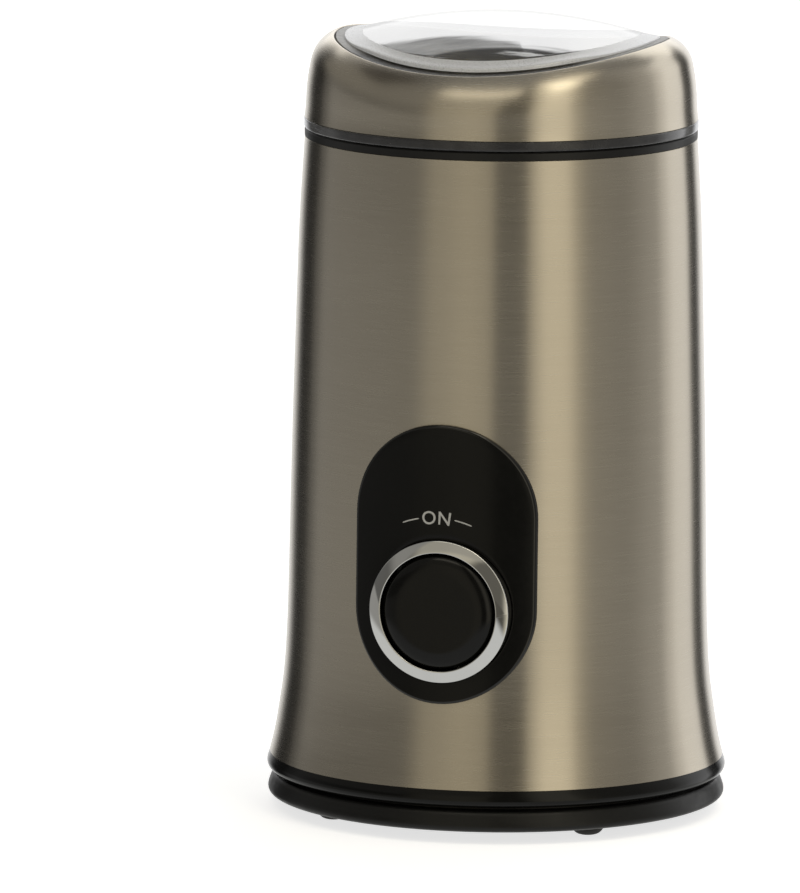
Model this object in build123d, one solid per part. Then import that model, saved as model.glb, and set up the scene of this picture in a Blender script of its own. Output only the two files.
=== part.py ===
from build123d import *
import os
from math import sin, cos, tan, pi, radians, degrees, sqrt, atan

os.makedirs("parts", exist_ok=True)

# Electric spice grinder: tapered steel body on a black base, lift-off lid with
# a clear dome, press button on the front.  Millimetres, +Z up, origin at the
# bottom centre on the resting plane, button towards -Y, lead exit towards +Y.

# ---------------------------------------------------------------- dimensions
# Outer radius of the steel body against height.
BODY_PROFILE = [
    (53.40, 12.70), (52.55, 16.25), (51.86, 19.85), (51.12, 24.64),
    (50.42, 29.60), (49.70, 38.50), (49.12, 58.00), (48.60, 86.75),
    (48.12, 105.80), (47.60, 124.75), (46.92, 143.70), (46.36, 153.20),
    (46.00, 159.00),
]
SLEEVE_T = 0.6          # steel sleeve wall
SKIN_GAP = 0.18         # sleeve to housing
HOUSING_T = 2.1         # housing wall
SLEEVE_Z0, SLEEVE_Z1 = 12.70, 159.00
COLLAR_R, COLLAR_Z1 = 46.05, 161.10    # black collar over the sleeve's edge

# Lid
RIM_Z0, RIM_Z1, RIM_R = 161.15, 163.35, 46.20   # translucent lower rim
CAP_Z0, CAP_R0 = 163.40, 46.10                  # steel cap
CREST_Z = 180.05        # saddle height at the axis
SADDLE = 3.0 / 39.15 ** 2    # saddle curvature, z = CREST_Z + SADDLE (x2 - y2)
CAP_T = 0.7
CAP_FILLET = 7.2
CAP_HOLE_R = 39.2
LINER_T = 1.5
DOME_R, DOME_STEP_R, DOME_TOP = 32.4, 34.6, 188.2
SKIRT_R0, SKIRT_R1, SKIRT_Z0 = 41.7, 43.2, 153.2
LID_LIFT = 60.0

# Bowl
BOWL_T = 0.8
BOWL_FLOOR_Z = 112.05
BOWL_R_TOP, BOWL_RIM_Z = 34.0, 163.0
BOWL_LIP_R = 36.6

# Housing decks
DECK1_Z0, DECK1_Z1 = 109.5, 112.0     # motor deck
DECK2_Z0, DECK2_Z1 = 150.0, 152.0     # bowl deck
WELL_R = 43.6

# Control plate, ring and button
PLATE_W, PLATE_H, PLATE_ZC = 43.6, 65.2, 64.9
PLATE_PROUD = 0.9
BTN_Z = 54.0
RING_R1, RING_R0, RING_BORE_R = 16.7, 15.3, 13.8
RING_FRONT_Y, RING_SEAT_Y, RING_BACK_Y = -52.05, -46.9, -43.8
BTN_R, BTN_FRONT_Y, BTN_BACK_Y = 13.4, -52.8, -42.3
BTN_FLANGE_R = 15.0
BTN_EDGE, BTN_DROP = 4.6, 2.3
BTN_TRAVEL = 2.5
STEM_R = 2.0

# Button switch, behind the carrier plate
CARRIER_Y0, CARRIER_Y1 = -36.6, -34.6
SW_X, SW_Y0, SW_Y1, SW_Z0, SW_Z1 = 9.9, -27.6, -17.4, 50.8, 57.2
LEVER_PX, LEVER_PY = 8.5, -28.75
LEVER_TIP_X, LEVER_T = -9.0, 0.5
LEVER_PHI = degrees(atan(BTN_TRAVEL / LEVER_PX))     # 16.4 degrees
SWP_X, SWP_TRAVEL = 5.0, 1.0

# Motor, vertical on the axis
STACK_Z0, STACK_Z1 = 62.0, 90.0
STATOR_X, STATOR_Y, STATOR_CORNER = 56.0, 48.0, 10.0
STATOR_BORE_R, ARMATURE_R = 16.2, 15.8
POST_X, POST_Y, POST_R = 22.5, 19.8, 3.0
SHAFT_R, SHAFT_Z0, SHAFT_Z1 = 3.0, 18.5, 124.0
BEARING_R = 8.0
COMM_R, COMM_Z0, COMM_Z1 = 9.5, 42.5, 53.0
FAN_R, FAN_Z0, FAN_Z1 = 24.0, 20.0, 27.0

# Lid interlock, at the back between bowl and housing
ROD_Y, ROD_R, ROD_Z0, ROD_Z1 = 39.9, 2.0, 123.15, 153.1
IL_X, IL_Y0, IL_Y1, IL_Z0, IL_Z1 = 9.9, 36.8, 43.2, 112.05, 122.2

# Base
BEAD_R = 54.0
GROOVE_R = 50.0
FOOT_R, FOOT_POS_R, FOOT_TOP = 4.1, 43.6, 4.3
GLAND_Z, GLAND_R, GLAND_BORE_R = 8.15, 4.3, 3.1
BASE_SCREW_R, BASE_SCREW_ANGLES = 40.5, (25, 155, 205, 335)


# ------------------------------------------------------------------- helpers
def r_out(z):
    p = BODY_PROFILE
    if z <= p[0][1]:
        return p[0][0]
    for (ra, za), (rb, zb) in zip(p, p[1:]):
        if z <= zb:
            return ra + (rb - ra) * (z - za) / (zb - za)
    return p[-1][0]


def shell_of_revolution(d_out, d_in, z0, z1):
    """Ring that follows the body profile, from d_out to d_in inside it."""
    zs = [z0] + [z for _, z in BODY_PROFILE if z0 + 1.5 < z < z1 - 1.5] + [z1]
    outer = Edge.make_spline([Vector(r_out(z) - d_out, 0, z) for z in zs])
    inner = Edge.make_spline([Vector(r_out(z) - d_in, 0, z) for z in zs])
    top = Edge.make_line((r_out(z1) - d_out, 0, z1), (r_out(z1) - d_in, 0, z1))
    bot = Edge.make_line((r_out(z0) - d_out, 0, z0), (r_out(z0) - d_in, 0, z0))
    return revolve(make_face([outer, top, inner, bot]), Axis.Z, 360)


def solid_inside(d, z0, z1):
    """Filled solid of revolution that follows the body profile."""
    zs = [z0] + [z for _, z in BODY_PROFILE if z0 + 1.5 < z < z1 - 1.5] + [z1]
    outer = Edge.make_spline([Vector(r_out(z) - d, 0, z) for z in zs])
    top = Edge.make_line((r_out(z1) - d, 0, z1), (0, 0, z1))
    axis = Edge.make_line((0, 0, z1), (0, 0, z0))
    bot = Edge.make_line((0, 0, z0), (r_out(z0) - d, 0, z0))
    return revolve(make_face([outer, top, axis, bot]), Axis.Z, 360)


def turned(pts):
    """Solid of revolution from a closed (r, z) polygon."""
    return revolve(make_face(Polyline(*[(r, 0, z) for r, z in pts], close=True)), Axis.Z, 360)


def turned_y(pts, x=0.0, z=0.0):
    """Solid of revolution about a line along Y, from a closed (r, y) polygon."""
    ax = Axis((x, 0, z), (0, 1, 0))
    return revolve(make_face(Polyline(*[(x + r, y, z) for r, y in pts], close=True)), ax, 360)


def cyl(r, z0, z1, x=0.0, y=0.0):
    return Pos(x, y, (z0 + z1) / 2) * Cylinder(r, z1 - z0)


def ycyl(r, y0, y1, x=0.0, z=0.0):
    return Pos(x, (y0 + y1) / 2, z) * Rot(90, 0, 0) * Cylinder(r, y1 - y0)


def xcyl(r, x0, x1, y=0.0, z=0.0):
    return Pos((x0 + x1) / 2, y, z) * Rot(0, 90, 0) * Cylinder(r, x1 - x0)


def box(x0, x1, y0, y1, z0, z1):
    return Pos((x0 + x1) / 2, (y0 + y1) / 2, (z0 + z1) / 2) * Box(x1 - x0, y1 - y0, z1 - z0)


def stadium(w, h, zc, y0, y1):
    """Upright stadium prism along Y."""
    s = (h - w) / 2
    return (box(-w / 2, w / 2, y0, y1, zc - s, zc + s)
            + ycyl(w / 2, y0, y1, 0, zc - s) + ycyl(w / 2, y0, y1, 0, zc + s))


def below(z0, b, c, depth=70.0, half=58.0, n=9):
    """Block under the surface z = z0 + b x2 + c y2."""
    g = [-half + 2 * half * i / (n - 1) for i in range(n)]
    pts = [[(x, y, z0 + b * x * x + c * y * y) for y in g] for x in g]
    f = Face.make_surface_from_array_of_points(pts, tol=1e-4, min_deg=2, max_deg=3)
    return Solid.extrude(f, Vector(0, 0, -depth))


def cap_block(inset, drop, fillet_r):
    """Filled cap shape: tapered wall under the saddle, rounded shoulder."""
    prof = [(46.10, 163.4), (45.92, 165.0), (45.64, 169.7), (45.09, 174.4),
            (44.62, 176.9), (44.20, 180.0), (43.70, 185.0), (43.2, 190.0)]
    prof = [(r - inset, z) for r, z in prof]
    prof = [(r, z - drop if i == 0 and drop < 0 else z) for i, (r, z) in enumerate(prof)]
    sp = Edge.make_spline([Vector(r, 0, z) for r, z in prof])
    z0, z1 = prof[0][1], prof[-1][1]
    f = make_face([Edge.make_line((0, 0, z0), (prof[0][0], 0, z0)), sp,
                   Edge.make_line((prof[-1][0], 0, z1), (0, 0, z1)),
                   Edge.make_line((0, 0, z1), (0, 0, z0))])
    s = revolve(f, Axis.Z, 360) & below(CREST_Z - drop, SADDLE, -SADDLE)
    es = [e for e in s.edges()
          if e.bounding_box().min.Z > 168 and e.bounding_box().max.X > 20 and e.length > 100]
    return fillet(es, fillet_r)


def helix_spring(r, wire, length, turns):
    """Spring along +Z from 0 to length, as a swept wire."""
    h = Edge.make_helix(pitch=length / turns, height=length, radius=r)
    start = h @ 0
    sec = Plane(origin=start, z_dir=h % 0) * Circle(wire / 2)
    return sweep(sec, path=h)


def save(name, shape):
    if isinstance(shape, (list, tuple)):
        shape = Compound(children=[s if isinstance(s, Solid) else s.solids()[0] for s in shape])
    export_step(shape, os.path.join("parts", name + ".step"))


# ---------------------------------------------------------------- outer body
plate_hole = stadium(PLATE_W - 3.0, PLATE_H - 3.0, PLATE_ZC, -60, -20)

sleeve = shell_of_revolution(0, SLEEVE_T, SLEEVE_Z0, SLEEVE_Z1) - plate_hole
save("body_sleeve", sleeve)

H_OUT = SLEEVE_T + SKIN_GAP
H_IN = H_OUT + HOUSING_T
housing = shell_of_revolution(H_OUT, H_IN, 13.2, DECK2_Z0 - 0.05)
# collar, lid well and bowl deck at the top
collar_top = turned([(WELL_R, DECK2_Z0), (r_out(150) - H_OUT, DECK2_Z0),
                     (r_out(155) - H_OUT, 155), (r_out(158.95) - H_OUT, 158.95),
                     (r_out(158.95) - H_OUT, 159.05), (COLLAR_R, 159.05),
                     (COLLAR_R, COLLAR_Z1 - 0.5), (COLLAR_R - 0.5, COLLAR_Z1),
                     (WELL_R, COLLAR_Z1)])
collar_top += turned([(36.0, DECK2_Z0), (WELL_R + 0.3, DECK2_Z0), (WELL_R + 0.3, DECK2_Z1), (36.0, DECK2_Z1)])
collar_top -= cyl(ROD_R + 0.15, 120, 160, 0, ROD_Y)
save("top_collar", collar_top)
# motor deck, fitted in the housing, with stiffening ribs under it
DECK_IN = H_IN + 0.05
deck1 = solid_inside(DECK_IN, DECK1_Z0, DECK1_Z1) - cyl(6.3, 100, 120)
deck1 -= cyl(3.2, 100, 120, 31, 22)
for a in (30, 90, 150, 210, 270, 330):
    rib = box(34.0, 46.0, -0.9, 0.9, 97.0, DECK1_Z0 + 0.2)
    deck1 += (Rot(0, 0, a) * rib) & solid_inside(DECK_IN, 90, 112)
# side ribs that hold the interlock switch
for sx in (-1, 1):
    deck1 += box(min(sx * 10.1, sx * 11.5), max(sx * 10.1, sx * 11.5), 37.0, 43.4, 111.8, 120.0) & solid_inside(DECK_IN, 105, 125)
save("motor_deck", deck1)
# screw bosses at the bottom, with a rib to the wall
for a in BASE_SCREW_ANGLES:
    x, y = BASE_SCREW_R * cos(radians(a)), BASE_SCREW_R * sin(radians(a))
    boss = cyl(4.0, 13.2, 32.0, x, y)
    rib = Rot(0, 0, a) * box(BASE_SCREW_R + 2, 50.5, -1.0, 1.0, 17.3, 30.0)
    housing += boss + (rib & solid_inside(H_OUT + 0.8, 13.2, 60))
    housing -= cyl(1.35, 13.0, 28.0, x, y)
# switch carrier bosses
for sx in (-1, 1):
    for sz in (-1, 1):
        b = box(sx * 19.5 - 2.8, sx * 19.5 + 2.8, -47, -36.65, BTN_Z + sz * 8 - 2.8, BTN_Z + sz * 8 + 2.8)
        housing += b & solid_inside(H_OUT + 1.0, 40, 70)
        housing -= ycyl(1.1, -43.5, -36.0, sx * 19.5, BTN_Z + sz * 8)
# opening for the button well
housing -= ycyl(17.6, -60, -42.0, 0, BTN_Z)
# interlock: rod guide shelf
shelf = box(-5.0, 5.0, 36.9, 47.0, 125.5, 127.0) & solid_inside(H_OUT + 1.0, 110, 140)
housing += shelf
housing -= cyl(ROD_R + 0.15, 120, 160, 0, ROD_Y)
save("inner_housing", housing)

# ---------------------------------------------------------------------- bowl
bo = BOWL_T
bowl = turned([
    (6.1, BOWL_FLOOR_Z), (20.0, BOWL_FLOOR_Z), (26.0, BOWL_FLOOR_Z + 0.9), (30.5, BOWL_FLOOR_Z + 3.8),
    (33.2, BOWL_FLOOR_Z + 8.5), (34.1, BOWL_FLOOR_Z + 14.5), (34.75, BOWL_RIM_Z - 1.0),
    (BOWL_LIP_R, BOWL_RIM_Z - 0.9), (BOWL_LIP_R, BOWL_RIM_Z - 1.7), (BOWL_LIP_R + 0.45, BOWL_RIM_Z - 1.2),
    (BOWL_LIP_R + 0.45, BOWL_RIM_Z - 0.5), (BOWL_LIP_R, BOWL_RIM_Z),
    (BOWL_R_TOP - 0.1, BOWL_RIM_Z), (33.3, BOWL_FLOOR_Z + 14.6), (32.45, BOWL_FLOOR_Z + 8.9),
    (29.95, BOWL_FLOOR_Z + 4.5), (25.75, BOWL_FLOOR_Z + 1.7), (20.0, BOWL_FLOOR_Z + bo), (6.1, BOWL_FLOOR_Z + bo)])
save("grinding_bowl", bowl)

gasket = turned([(35.0, 152.05), (37.55, 152.05), (37.55, 153.1), (36.3, 154.0), (35.0, 154.0)])
save("bowl_gasket", gasket)

bushing = (cyl(8.6, 112.9, 114.7) + cyl(6.0, 107.2, 112.9)) - cyl(SHAFT_R + 0.06, 100, 120)
save("shaft_bushing", bushing)
nut = extrude(Plane.XY.offset(107.7) * RegularPolygon(9.2, 6), 1.7) - cyl(6.05, 100, 120)
save("bushing_nut", nut)
seal = turned([(3.4, 114.75), (6.8, 114.75), (6.8, 115.5), (5.0, 116.1), (3.4, 116.1)])
save("shaft_seal", seal)

# ----------------------------------------------------------------------- lid
cap_outer = cap_block(0.0, 0.0, CAP_FILLET)
cap_inner = cap_block(CAP_T, CAP_T, CAP_FILLET - CAP_T)
cap = cap_outer - cap_inner - cyl(CAP_HOLE_R, 150, 200)
# the cap's inner edge turns down into the dome's groove
turn = (cyl(CAP_HOLE_R + 0.7, 150, 200) - cyl(CAP_HOLE_R, 150, 200)) & below(CREST_Z - 0.3, SADDLE, -SADDLE, 1.0)
cap = cap + turn
save("lid_cap", cap)

GAP = 0.05
li_out = cap_block(CAP_T + GAP, CAP_T + GAP, CAP_FILLET - CAP_T - GAP)
li_in = cap_block(CAP_T + GAP + LINER_T, CAP_T + GAP + LINER_T, 3.4)
liner = li_out - li_in
# room for the cap's turned-down edge, then the flange's ridge inside it
liner -= (cyl(CAP_HOLE_R + 0.8, 150, 200) - cyl(CAP_HOLE_R - 0.1, 150, 200)) & below(CREST_Z, SADDLE, -SADDLE, 1.4)
liner -= cyl(DOME_R - 2.0, 150, 200)
liner += ((cyl(DOME_STEP_R + 0.3, 150, 200) - cyl(DOME_R - 2.0, 150, 200)) & below(CREST_Z - 0.1, SADDLE, -SADDLE, 2.2))
# lower rim, skirt
liner += turned([(SKIRT_R0, SKIRT_Z0), (SKIRT_R1, SKIRT_Z0), (SKIRT_R1, RIM_Z0), (RIM_R - 0.3, RIM_Z0),
                 (RIM_R, RIM_Z0 + 0.3), (RIM_R, RIM_Z1 - 0.25), (RIM_R - 0.25, RIM_Z1), (45.2, RIM_Z1),
                 (45.2, RIM_Z1 + 0.5), (44.0, RIM_Z1 + 0.5), (SKIRT_R0, RIM_Z0 + 1.8)])
# tab that presses the interlock rod
tab = box(-3.2, 3.2, 38.0, 42.6, SKIRT_Z0, 159.0) & cyl(43.0, 150, 170)
liner += tab
# dome: elliptic paraboloid shell on the ridge
kd = 6.1 / DOME_R ** 2
sd = 1.95 / DOME_R ** 2
dome = (cyl(DOME_STEP_R, 165, 190) & below(DOME_TOP, -(kd - sd), -(kd + sd)))
dome -= (cyl(DOME_R - 1.0, 160, 190) & below(DOME_TOP - 1.7, -(kd - sd), -(kd + sd)))
dome = dome & (below(DOME_TOP + 5, SADDLE, -SADDLE) - below(CREST_Z - 1.0, SADDLE, -SADDLE))
liner += dome
save("lid_liner", liner)

# ------------------------------------------------------------- control plate
follow = solid_inside(-PLATE_PROUD, 25, 105)
plate = stadium(PLATE_W, PLATE_H, PLATE_ZC, -60, -30) & (follow - solid_inside(-0.06, 24, 106))
boss = stadium(PLATE_W - 3.5, PLATE_H - 3.5, PLATE_ZC, -60, -30) & (follow - solid_inside(H_OUT - 0.05, 24, 106))
plate += boss
plate += ycyl(17.3, -47.4, -43.6, 0, BTN_Z)
plate -= ycyl(RING_R0 + 0.05, -60, -40, 0, BTN_Z)
plate -= ycyl(RING_R1 + 0.05, -60, RING_SEAT_Y, 0, BTN_Z)
save("control_plate", plate)

ring = turned_y([(RING_BORE_R, RING_BACK_Y), (RING_R0, RING_BACK_Y), (RING_R0, RING_SEAT_Y),
                 (RING_R1, RING_SEAT_Y), (RING_R1, RING_FRONT_Y + 1.4), (RING_R1 - 0.25, RING_FRONT_Y + 1.1),
                 (RING_BORE_R + 0.35, RING_FRONT_Y), (RING_BORE_R + 0.1, RING_FRONT_Y + 0.05),
                 (RING_BORE_R, RING_FRONT_Y + 0.25)],
                0, BTN_Z)
save("button_ring", ring)

# -------------------------------------------------------------------- button
r, e, d = BTN_R, BTN_EDGE, BTN_DROP
btn_pts = [(0, BTN_FRONT_Y), (r - e, BTN_FRONT_Y)]
btn_pts += [(r - e * (1 - sin(radians(q))), BTN_FRONT_Y + d * (1 - cos(radians(q)))) for q in (15, 30, 45, 60, 75, 90)]
btn_pts += [(r, -43.5), (BTN_FLANGE_R, -43.5), (BTN_FLANGE_R, BTN_BACK_Y), (r - 1.8, BTN_BACK_Y),
           (r - 1.8, BTN_FRONT_Y + 2.0), (4.0, BTN_FRONT_Y + 2.0), (4.0, -46.5), (STEM_R, -46.5)]
stem_tip = LEVER_PY - LEVER_T / 2 - LEVER_PX * tan(radians(LEVER_PHI)) - 0.15 - 0.35
btn_pts += [(STEM_R, stem_tip - 1.0), (1.3, stem_tip - 0.25), (0, stem_tip)]
button = turned_y(btn_pts, 0, BTN_Z)
save("push_button", button)

spring = helix_spring(5.2, 0.7, abs(CARRIER_Y0 - (BTN_FRONT_Y + 2.0)) - 1.5, 6)
spring = Pos(0, CARRIER_Y0 - 0.55, BTN_Z) * Rot(90, 0, 0) * spring
save("button_spring", spring)

# ------------------------------------------------ button switch and carrier
carrier = box(-23, 23, CARRIER_Y0, CARRIER_Y1, BTN_Z - 11.5, BTN_Z + 11.5)
carrier = fillet(carrier.edges().filter_by(Axis.Y), 3.0)
for sx in (-1, 1):
    x0, x1 = sorted((sx * 10.1, sx * 11.9))
    carrier += box(x0, x1, CARRIER_Y1 - 0.2, -17.0, 49.0, 59.0)
    x0, x1 = sorted((sx * 8.2, sx * 10.3))
    carrier += box(x0, x1, -17.3, -16.0, 49.0, 59.0) + box(*sorted((sx * 10.1, sx * 11.9)), -17.4, -16.0, 49.0, 59.0)
carrier -= ycyl(STEM_R + 0.9, -40, -30, 0, BTN_Z)
for sx in (-1, 1):
    for sz in (-1, 1):
        carrier -= ycyl(1.5, -40, -30, sx * 19.5, BTN_Z + sz * 8)
# keep the plate clear of the lever's swing
save("switch_carrier", carrier)

screws = []
for sx in (-1, 1):
    for sz in (-1, 1):
        x, z = sx * 19.5, BTN_Z + sz * 8
        s = ycyl(1.05, -43.0, CARRIER_Y1, x, z) + ycyl(2.3, CARRIER_Y1 + 0.02, CARRIER_Y1 + 1.7, x, z)
        s += ycyl(1.05, CARRIER_Y1 - 0.2, CARRIER_Y1 + 0.3, x, z)
        s -= box(x - 2.0, x + 2.0, CARRIER_Y1 + 1.1, CARRIER_Y1 + 2.0, z - 0.3, z + 0.3)
        screws.append(s)
save("carrier_screws", screws)

sw = box(-SW_X, SW_X, SW_Y0, SW_Y1, SW_Z0, SW_Z1)
for z0, z1 in ((SW_Z0, SW_Z0 + 1.1), (SW_Z1 - 1.1, SW_Z1)):
    sw += box(7.5, 9.5, SW_Y0 - 1.9, SW_Y0 + 0.1, z0, z1)
sw += cyl(0.5, SW_Z0 + 0.5, SW_Z1 - 0.5, LEVER_PX, LEVER_PY)
sw -= box(SWP_X - 1.05, SWP_X + 1.05, SW_Y0 - 1, SW_Y0 + 4.5, 54.0 - 1.55, 54.0 + 1.55)
for x in (-6.4, 0.0, 6.4):
    sw += box(x - 1.4, x + 1.4, SW_Y1 - 0.1, SW_Y1 + 1.3, 53.7, 54.3)
save("button_switch", sw)

lever = (box(LEVER_TIP_X, LEVER_PX - 0.6, LEVER_PY - LEVER_T / 2, LEVER_PY + LEVER_T / 2, 52.3, 55.7)
         + cyl(0.95, 52.3, 55.7, LEVER_PX, LEVER_PY)) - cyl(0.58, 50, 58, LEVER_PX, LEVER_PY)
lever = Pos(LEVER_PX, LEVER_PY, 0) * Rot(0, 0, LEVER_PHI) * Pos(-LEVER_PX, -LEVER_PY, 0) * lever
save("switch_lever", lever)

swp_top = LEVER_PY + LEVER_T / 2 - (LEVER_PX - SWP_X) * tan(radians(LEVER_PHI)) + 0.35
swp = box(SWP_X - 0.95, SWP_X + 0.95, swp_top, SW_Y0 + 2.4, 54.0 - 1.45, 54.0 + 1.45)
save("switch_plunger", swp)

# --------------------------------------------------------------------- motor
stator = extrude(Plane.XY.offset(STACK_Z0) * RectangleRounded(STATOR_X, STATOR_Y, STATOR_CORNER), STACK_Z1 - STACK_Z0)
stator -= cyl(STATOR_BORE_R, 50, 100)
for sx in (-1, 1):
    for sy in (-1, 1):
        x0, x1 = sorted((sx * 18.5, sx * 23.7))
        y0, y1 = sorted((sy * 7.2, sy * 17.3))
        stator -= box(x0, x1, y0, y1, 50, 100)
        stator -= cyl(1.75, 50, 100, sx * POST_X, sy * POST_Y)
save("stator_core", stator)

coils = []
for sx in (-1, 1):
    x0, x1 = sorted((sx * 18.75, sx * 23.4))
    c = box(x0, x1, -16.3, 16.3, STACK_Z0 - 8, STACK_Z1 + 8)
    c = fillet(c.edges().filter_by(Axis.X), 6.0)
    c -= box(x0 - 1, x1 + 1, -7.4, 7.4, STACK_Z0 - 0.3, STACK_Z1 + 0.3)
    coils.append(c)
save("field_coils", coils)

core = cyl(ARMATURE_R, STACK_Z0 + 0.2, STACK_Z1 - 0.2) - cyl(SHAFT_R + 0.02, 50, 100)
for i in range(12):
    a = i * 30
    core -= Rot(0, 0, a) * cyl(1.7, 50, 100, 13.0, 0)
    core -= Rot(0, 0, a) * box(13.0, 17.0, -0.6, 0.6, 50, 100)
save("armature_core", core)

wind = turned([(4.6, 54.2), (12.6, 54.2), (14.2, 56.2), (14.6, STACK_Z0 - 0.1), (4.6, STACK_Z0 - 0.1)])
wind += turned([(4.6, STACK_Z1 + 0.1), (14.6, STACK_Z1 + 0.1), (14.2, 95.2), (12.6, 97.2), (4.6, 97.2)])
for i in range(12):
    wind += Rot(0, 0, i * 30) * cyl(1.5, STACK_Z0 - 0.5, STACK_Z1 + 0.5, 13.0, 0)
save("armature_windings", wind)

comm = cyl(COMM_R, COMM_Z0, COMM_Z1) + cyl(COMM_R + 1.0, COMM_Z1 - 1.2, COMM_Z1)
comm -= cyl(SHAFT_R + 0.02, 30, 60)
for i in range(24):
    comm -= Rot(0, 0, i * 15) * box(COMM_R - 0.7, COMM_R + 2, -0.2, 0.2, 40, 60)
save("commutator", comm)

shaft = cyl(SHAFT_R, SHAFT_Z0 + 0.6, 118.0) + cyl(2.4, 118.0, SHAFT_Z1 - 0.5)
shaft += Pos(0, 0, SHAFT_Z0 + 0.3) * Cone(SHAFT_R - 0.6, SHAFT_R, 0.6)
shaft += Pos(0, 0, SHAFT_Z1 - 0.25) * Cone(2.4, 1.9, 0.5)
save("motor_shaft", shaft)

fan = cyl(6.0, FAN_Z0, FAN_Z1 + 1.0) + cyl(FAN_R, FAN_Z1 - 1.4, FAN_Z1)
for i in range(9):
    v = box(5.0, FAN_R - 0.5, -0.8, 0.8, FAN_Z0, FAN_Z1 - 1.0)
    fan += Rot(0, 0, i * 40) * Pos(5, 0, 0) * Rot(0, 0, 14) * Pos(-5, 0, 0) * (v & box(5, FAN_R - 1.2, -2, 2, 15, 30))
fan -= cyl(SHAFT_R + 0.02, 15, 35)
save("cooling_fan", fan)

bearings = {"upper_bearing": (100.6, 106.6), "lower_bearing": (30.6, 36.6)}
for name, (z0, z1) in bearings.items():
    b = cyl(BEARING_R, z0, z1) - cyl(SHAFT_R + 0.04, z0 - 1, z1 + 1)
    b = b - (cyl(6.6, z1 - 0.6, z1 + 1) - cyl(4.2, z1 - 0.6, z1 + 1))
    b = b - (cyl(6.6, z0 - 1, z0 + 0.6) - cyl(4.2, z0 - 1, z0 + 0.6))
    save(name, b)

ub = cyl(10.2, 98.8, 106.8)
for sx in (-1, 1):
    for sy in (-1, 1):
        L = sqrt(POST_X ** 2 + POST_Y ** 2)
        ang = degrees(atan(POST_Y / POST_X))
        arm = box(0, L, -4.5, 4.5, 100.0, 102.6) + cyl(4.5, 100.0, 102.6, L, 0)
        a = {(1, 1): ang, (-1, 1): 180 - ang, (-1, -1): 180 + ang, (1, -1): -ang}[(sx, sy)]
        ub += Rot(0, 0, a) * arm
        ub += cyl(POST_R, STACK_Z1 + 0.05, 100.5, sx * POST_X, sy * POST_Y)
    ub += box(min(0, sx * 31), max(0, sx * 31), -5.0, 5.0, 100.0, 102.6)
ub -= cyl(BEARING_R + 0.03, 99.9, 120)
ub -= cyl(5.0, 90, 120)
for sx in (-1, 1):
    ub -= cyl(1.9, 95, 110, sx * 27.5, 0)
    for sy in (-1, 1):
        ub -= cyl(1.35, 85, 110, sx * POST_X, sy * POST_Y)
save("upper_bracket", ub)

lb = cyl(10.2, 30.0, 37.0)
for sx in (-1, 1):
    for sy in (-1, 1):
        L = sqrt(POST_X ** 2 + POST_Y ** 2)
        ang = degrees(atan(POST_Y / POST_X))
        arm = box(0, L, -4.5, 4.5, 33.4, 36.0) + cyl(4.5, 33.4, 36.0, L, 0)
        a = {(1, 1): ang, (-1, 1): 180 - ang, (-1, -1): 180 + ang, (1, -1): -ang}[(sx, sy)]
        lb += Rot(0, 0, a) * arm
        lb += cyl(POST_R, 35.8, STACK_Z0 - 0.05, sx * POST_X, sy * POST_Y)
    x0, x1 = sorted((0, sx * 26))
    lb += box(x0, x1, -5.0, 5.0, 33.4, 36.0)
    x0, x1 = sorted((sx * 13.5, sx * 25.5))
    lb += box(x0, x1, -4.6, 4.6, 35.8, 42.95)
lb -= cyl(BEARING_R + 0.03, 30.55, 60)
lb -= cyl(5.0, 20, 60)
for sx in (-1, 1):
    for sy in (-1, 1):
        lb -= cyl(1.75, 25, 70, sx * POST_X, sy * POST_Y)
save("lower_bracket", lb)

ms = []
for sx in (-1, 1):
    for sy in (-1, 1):
        x, y = sx * POST_X, sy * POST_Y
        s = cyl(1.3, 33.0, 102.0, x, y) + cyl(2.7, 31.2, 33.35, x, y)
        s -= box(x - 2.2, x + 2.2, y - 0.35, y + 0.35, 31.0, 31.9)
        ms.append(s)
save("motor_screws", ms)

holders, brushes, bsprings = [], [], []
for sx in (-1, 1):
    x0, x1 = sorted((sx * 11.2, sx * 26.0))
    h = box(x0, x1, -4.1, 4.1, 43.0, 52.6)
    x0, x1 = sorted((sx * 10.0, sx * 24.6))
    h -= box(x0, x1, -3.1, 3.1, 44.3, 51.3)
    holders.append(h)
    x0, x1 = sorted((sx * 8.0, sx * 18.0))
    b = box(x0, x1, -3.0, 3.0, 44.4, 51.2) - cyl(COMM_R + 0.09, 40, 60)
    brushes.append(b)
    sp = helix_spring(2.1, 0.5, 5.8, 4)
    bsprings.append(Pos(sx * 18.35, 0, 47.8) * Rot(0, sx * 90, 0) * sp)
save("brush_holders", holders)
save("carbon_brushes", brushes)
save("brush_springs", bsprings)

mounts, mscrews = [], []
for sx in (-1, 1):
    x = sx * 27.5
    m = cyl(5.0, 102.65, 109.45, x, 0) - cyl(1.9, 100, 112, x, 0)
    m -= cyl(6.0, 105.4, 106.8, x, 0) - cyl(3.9, 105.4, 106.8, x, 0)
    mounts.append(m)
    s = cyl(1.6, 98.0, 109.4, x, 0) + cyl(3.2, 98.0, 99.95, x, 0)
    s -= box(x - 2.6, x + 2.6, -0.4, 0.4, 97.9, 98.7)
    mscrews.append(s)
save("motor_mounts", mounts)
save("mount_screws", mscrews)

# --------------------------------------------------------------------- blade
hub = turned([(2.5, 118.1), (6.0, 118.1), (6.0, 119.6), (2.5, 119.6)]) + turned(
    [(3.1, 116.6), (5.2, 116.6), (5.2, 118.15), (3.1, 118.15)])
save("blade_hub", hub)

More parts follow.
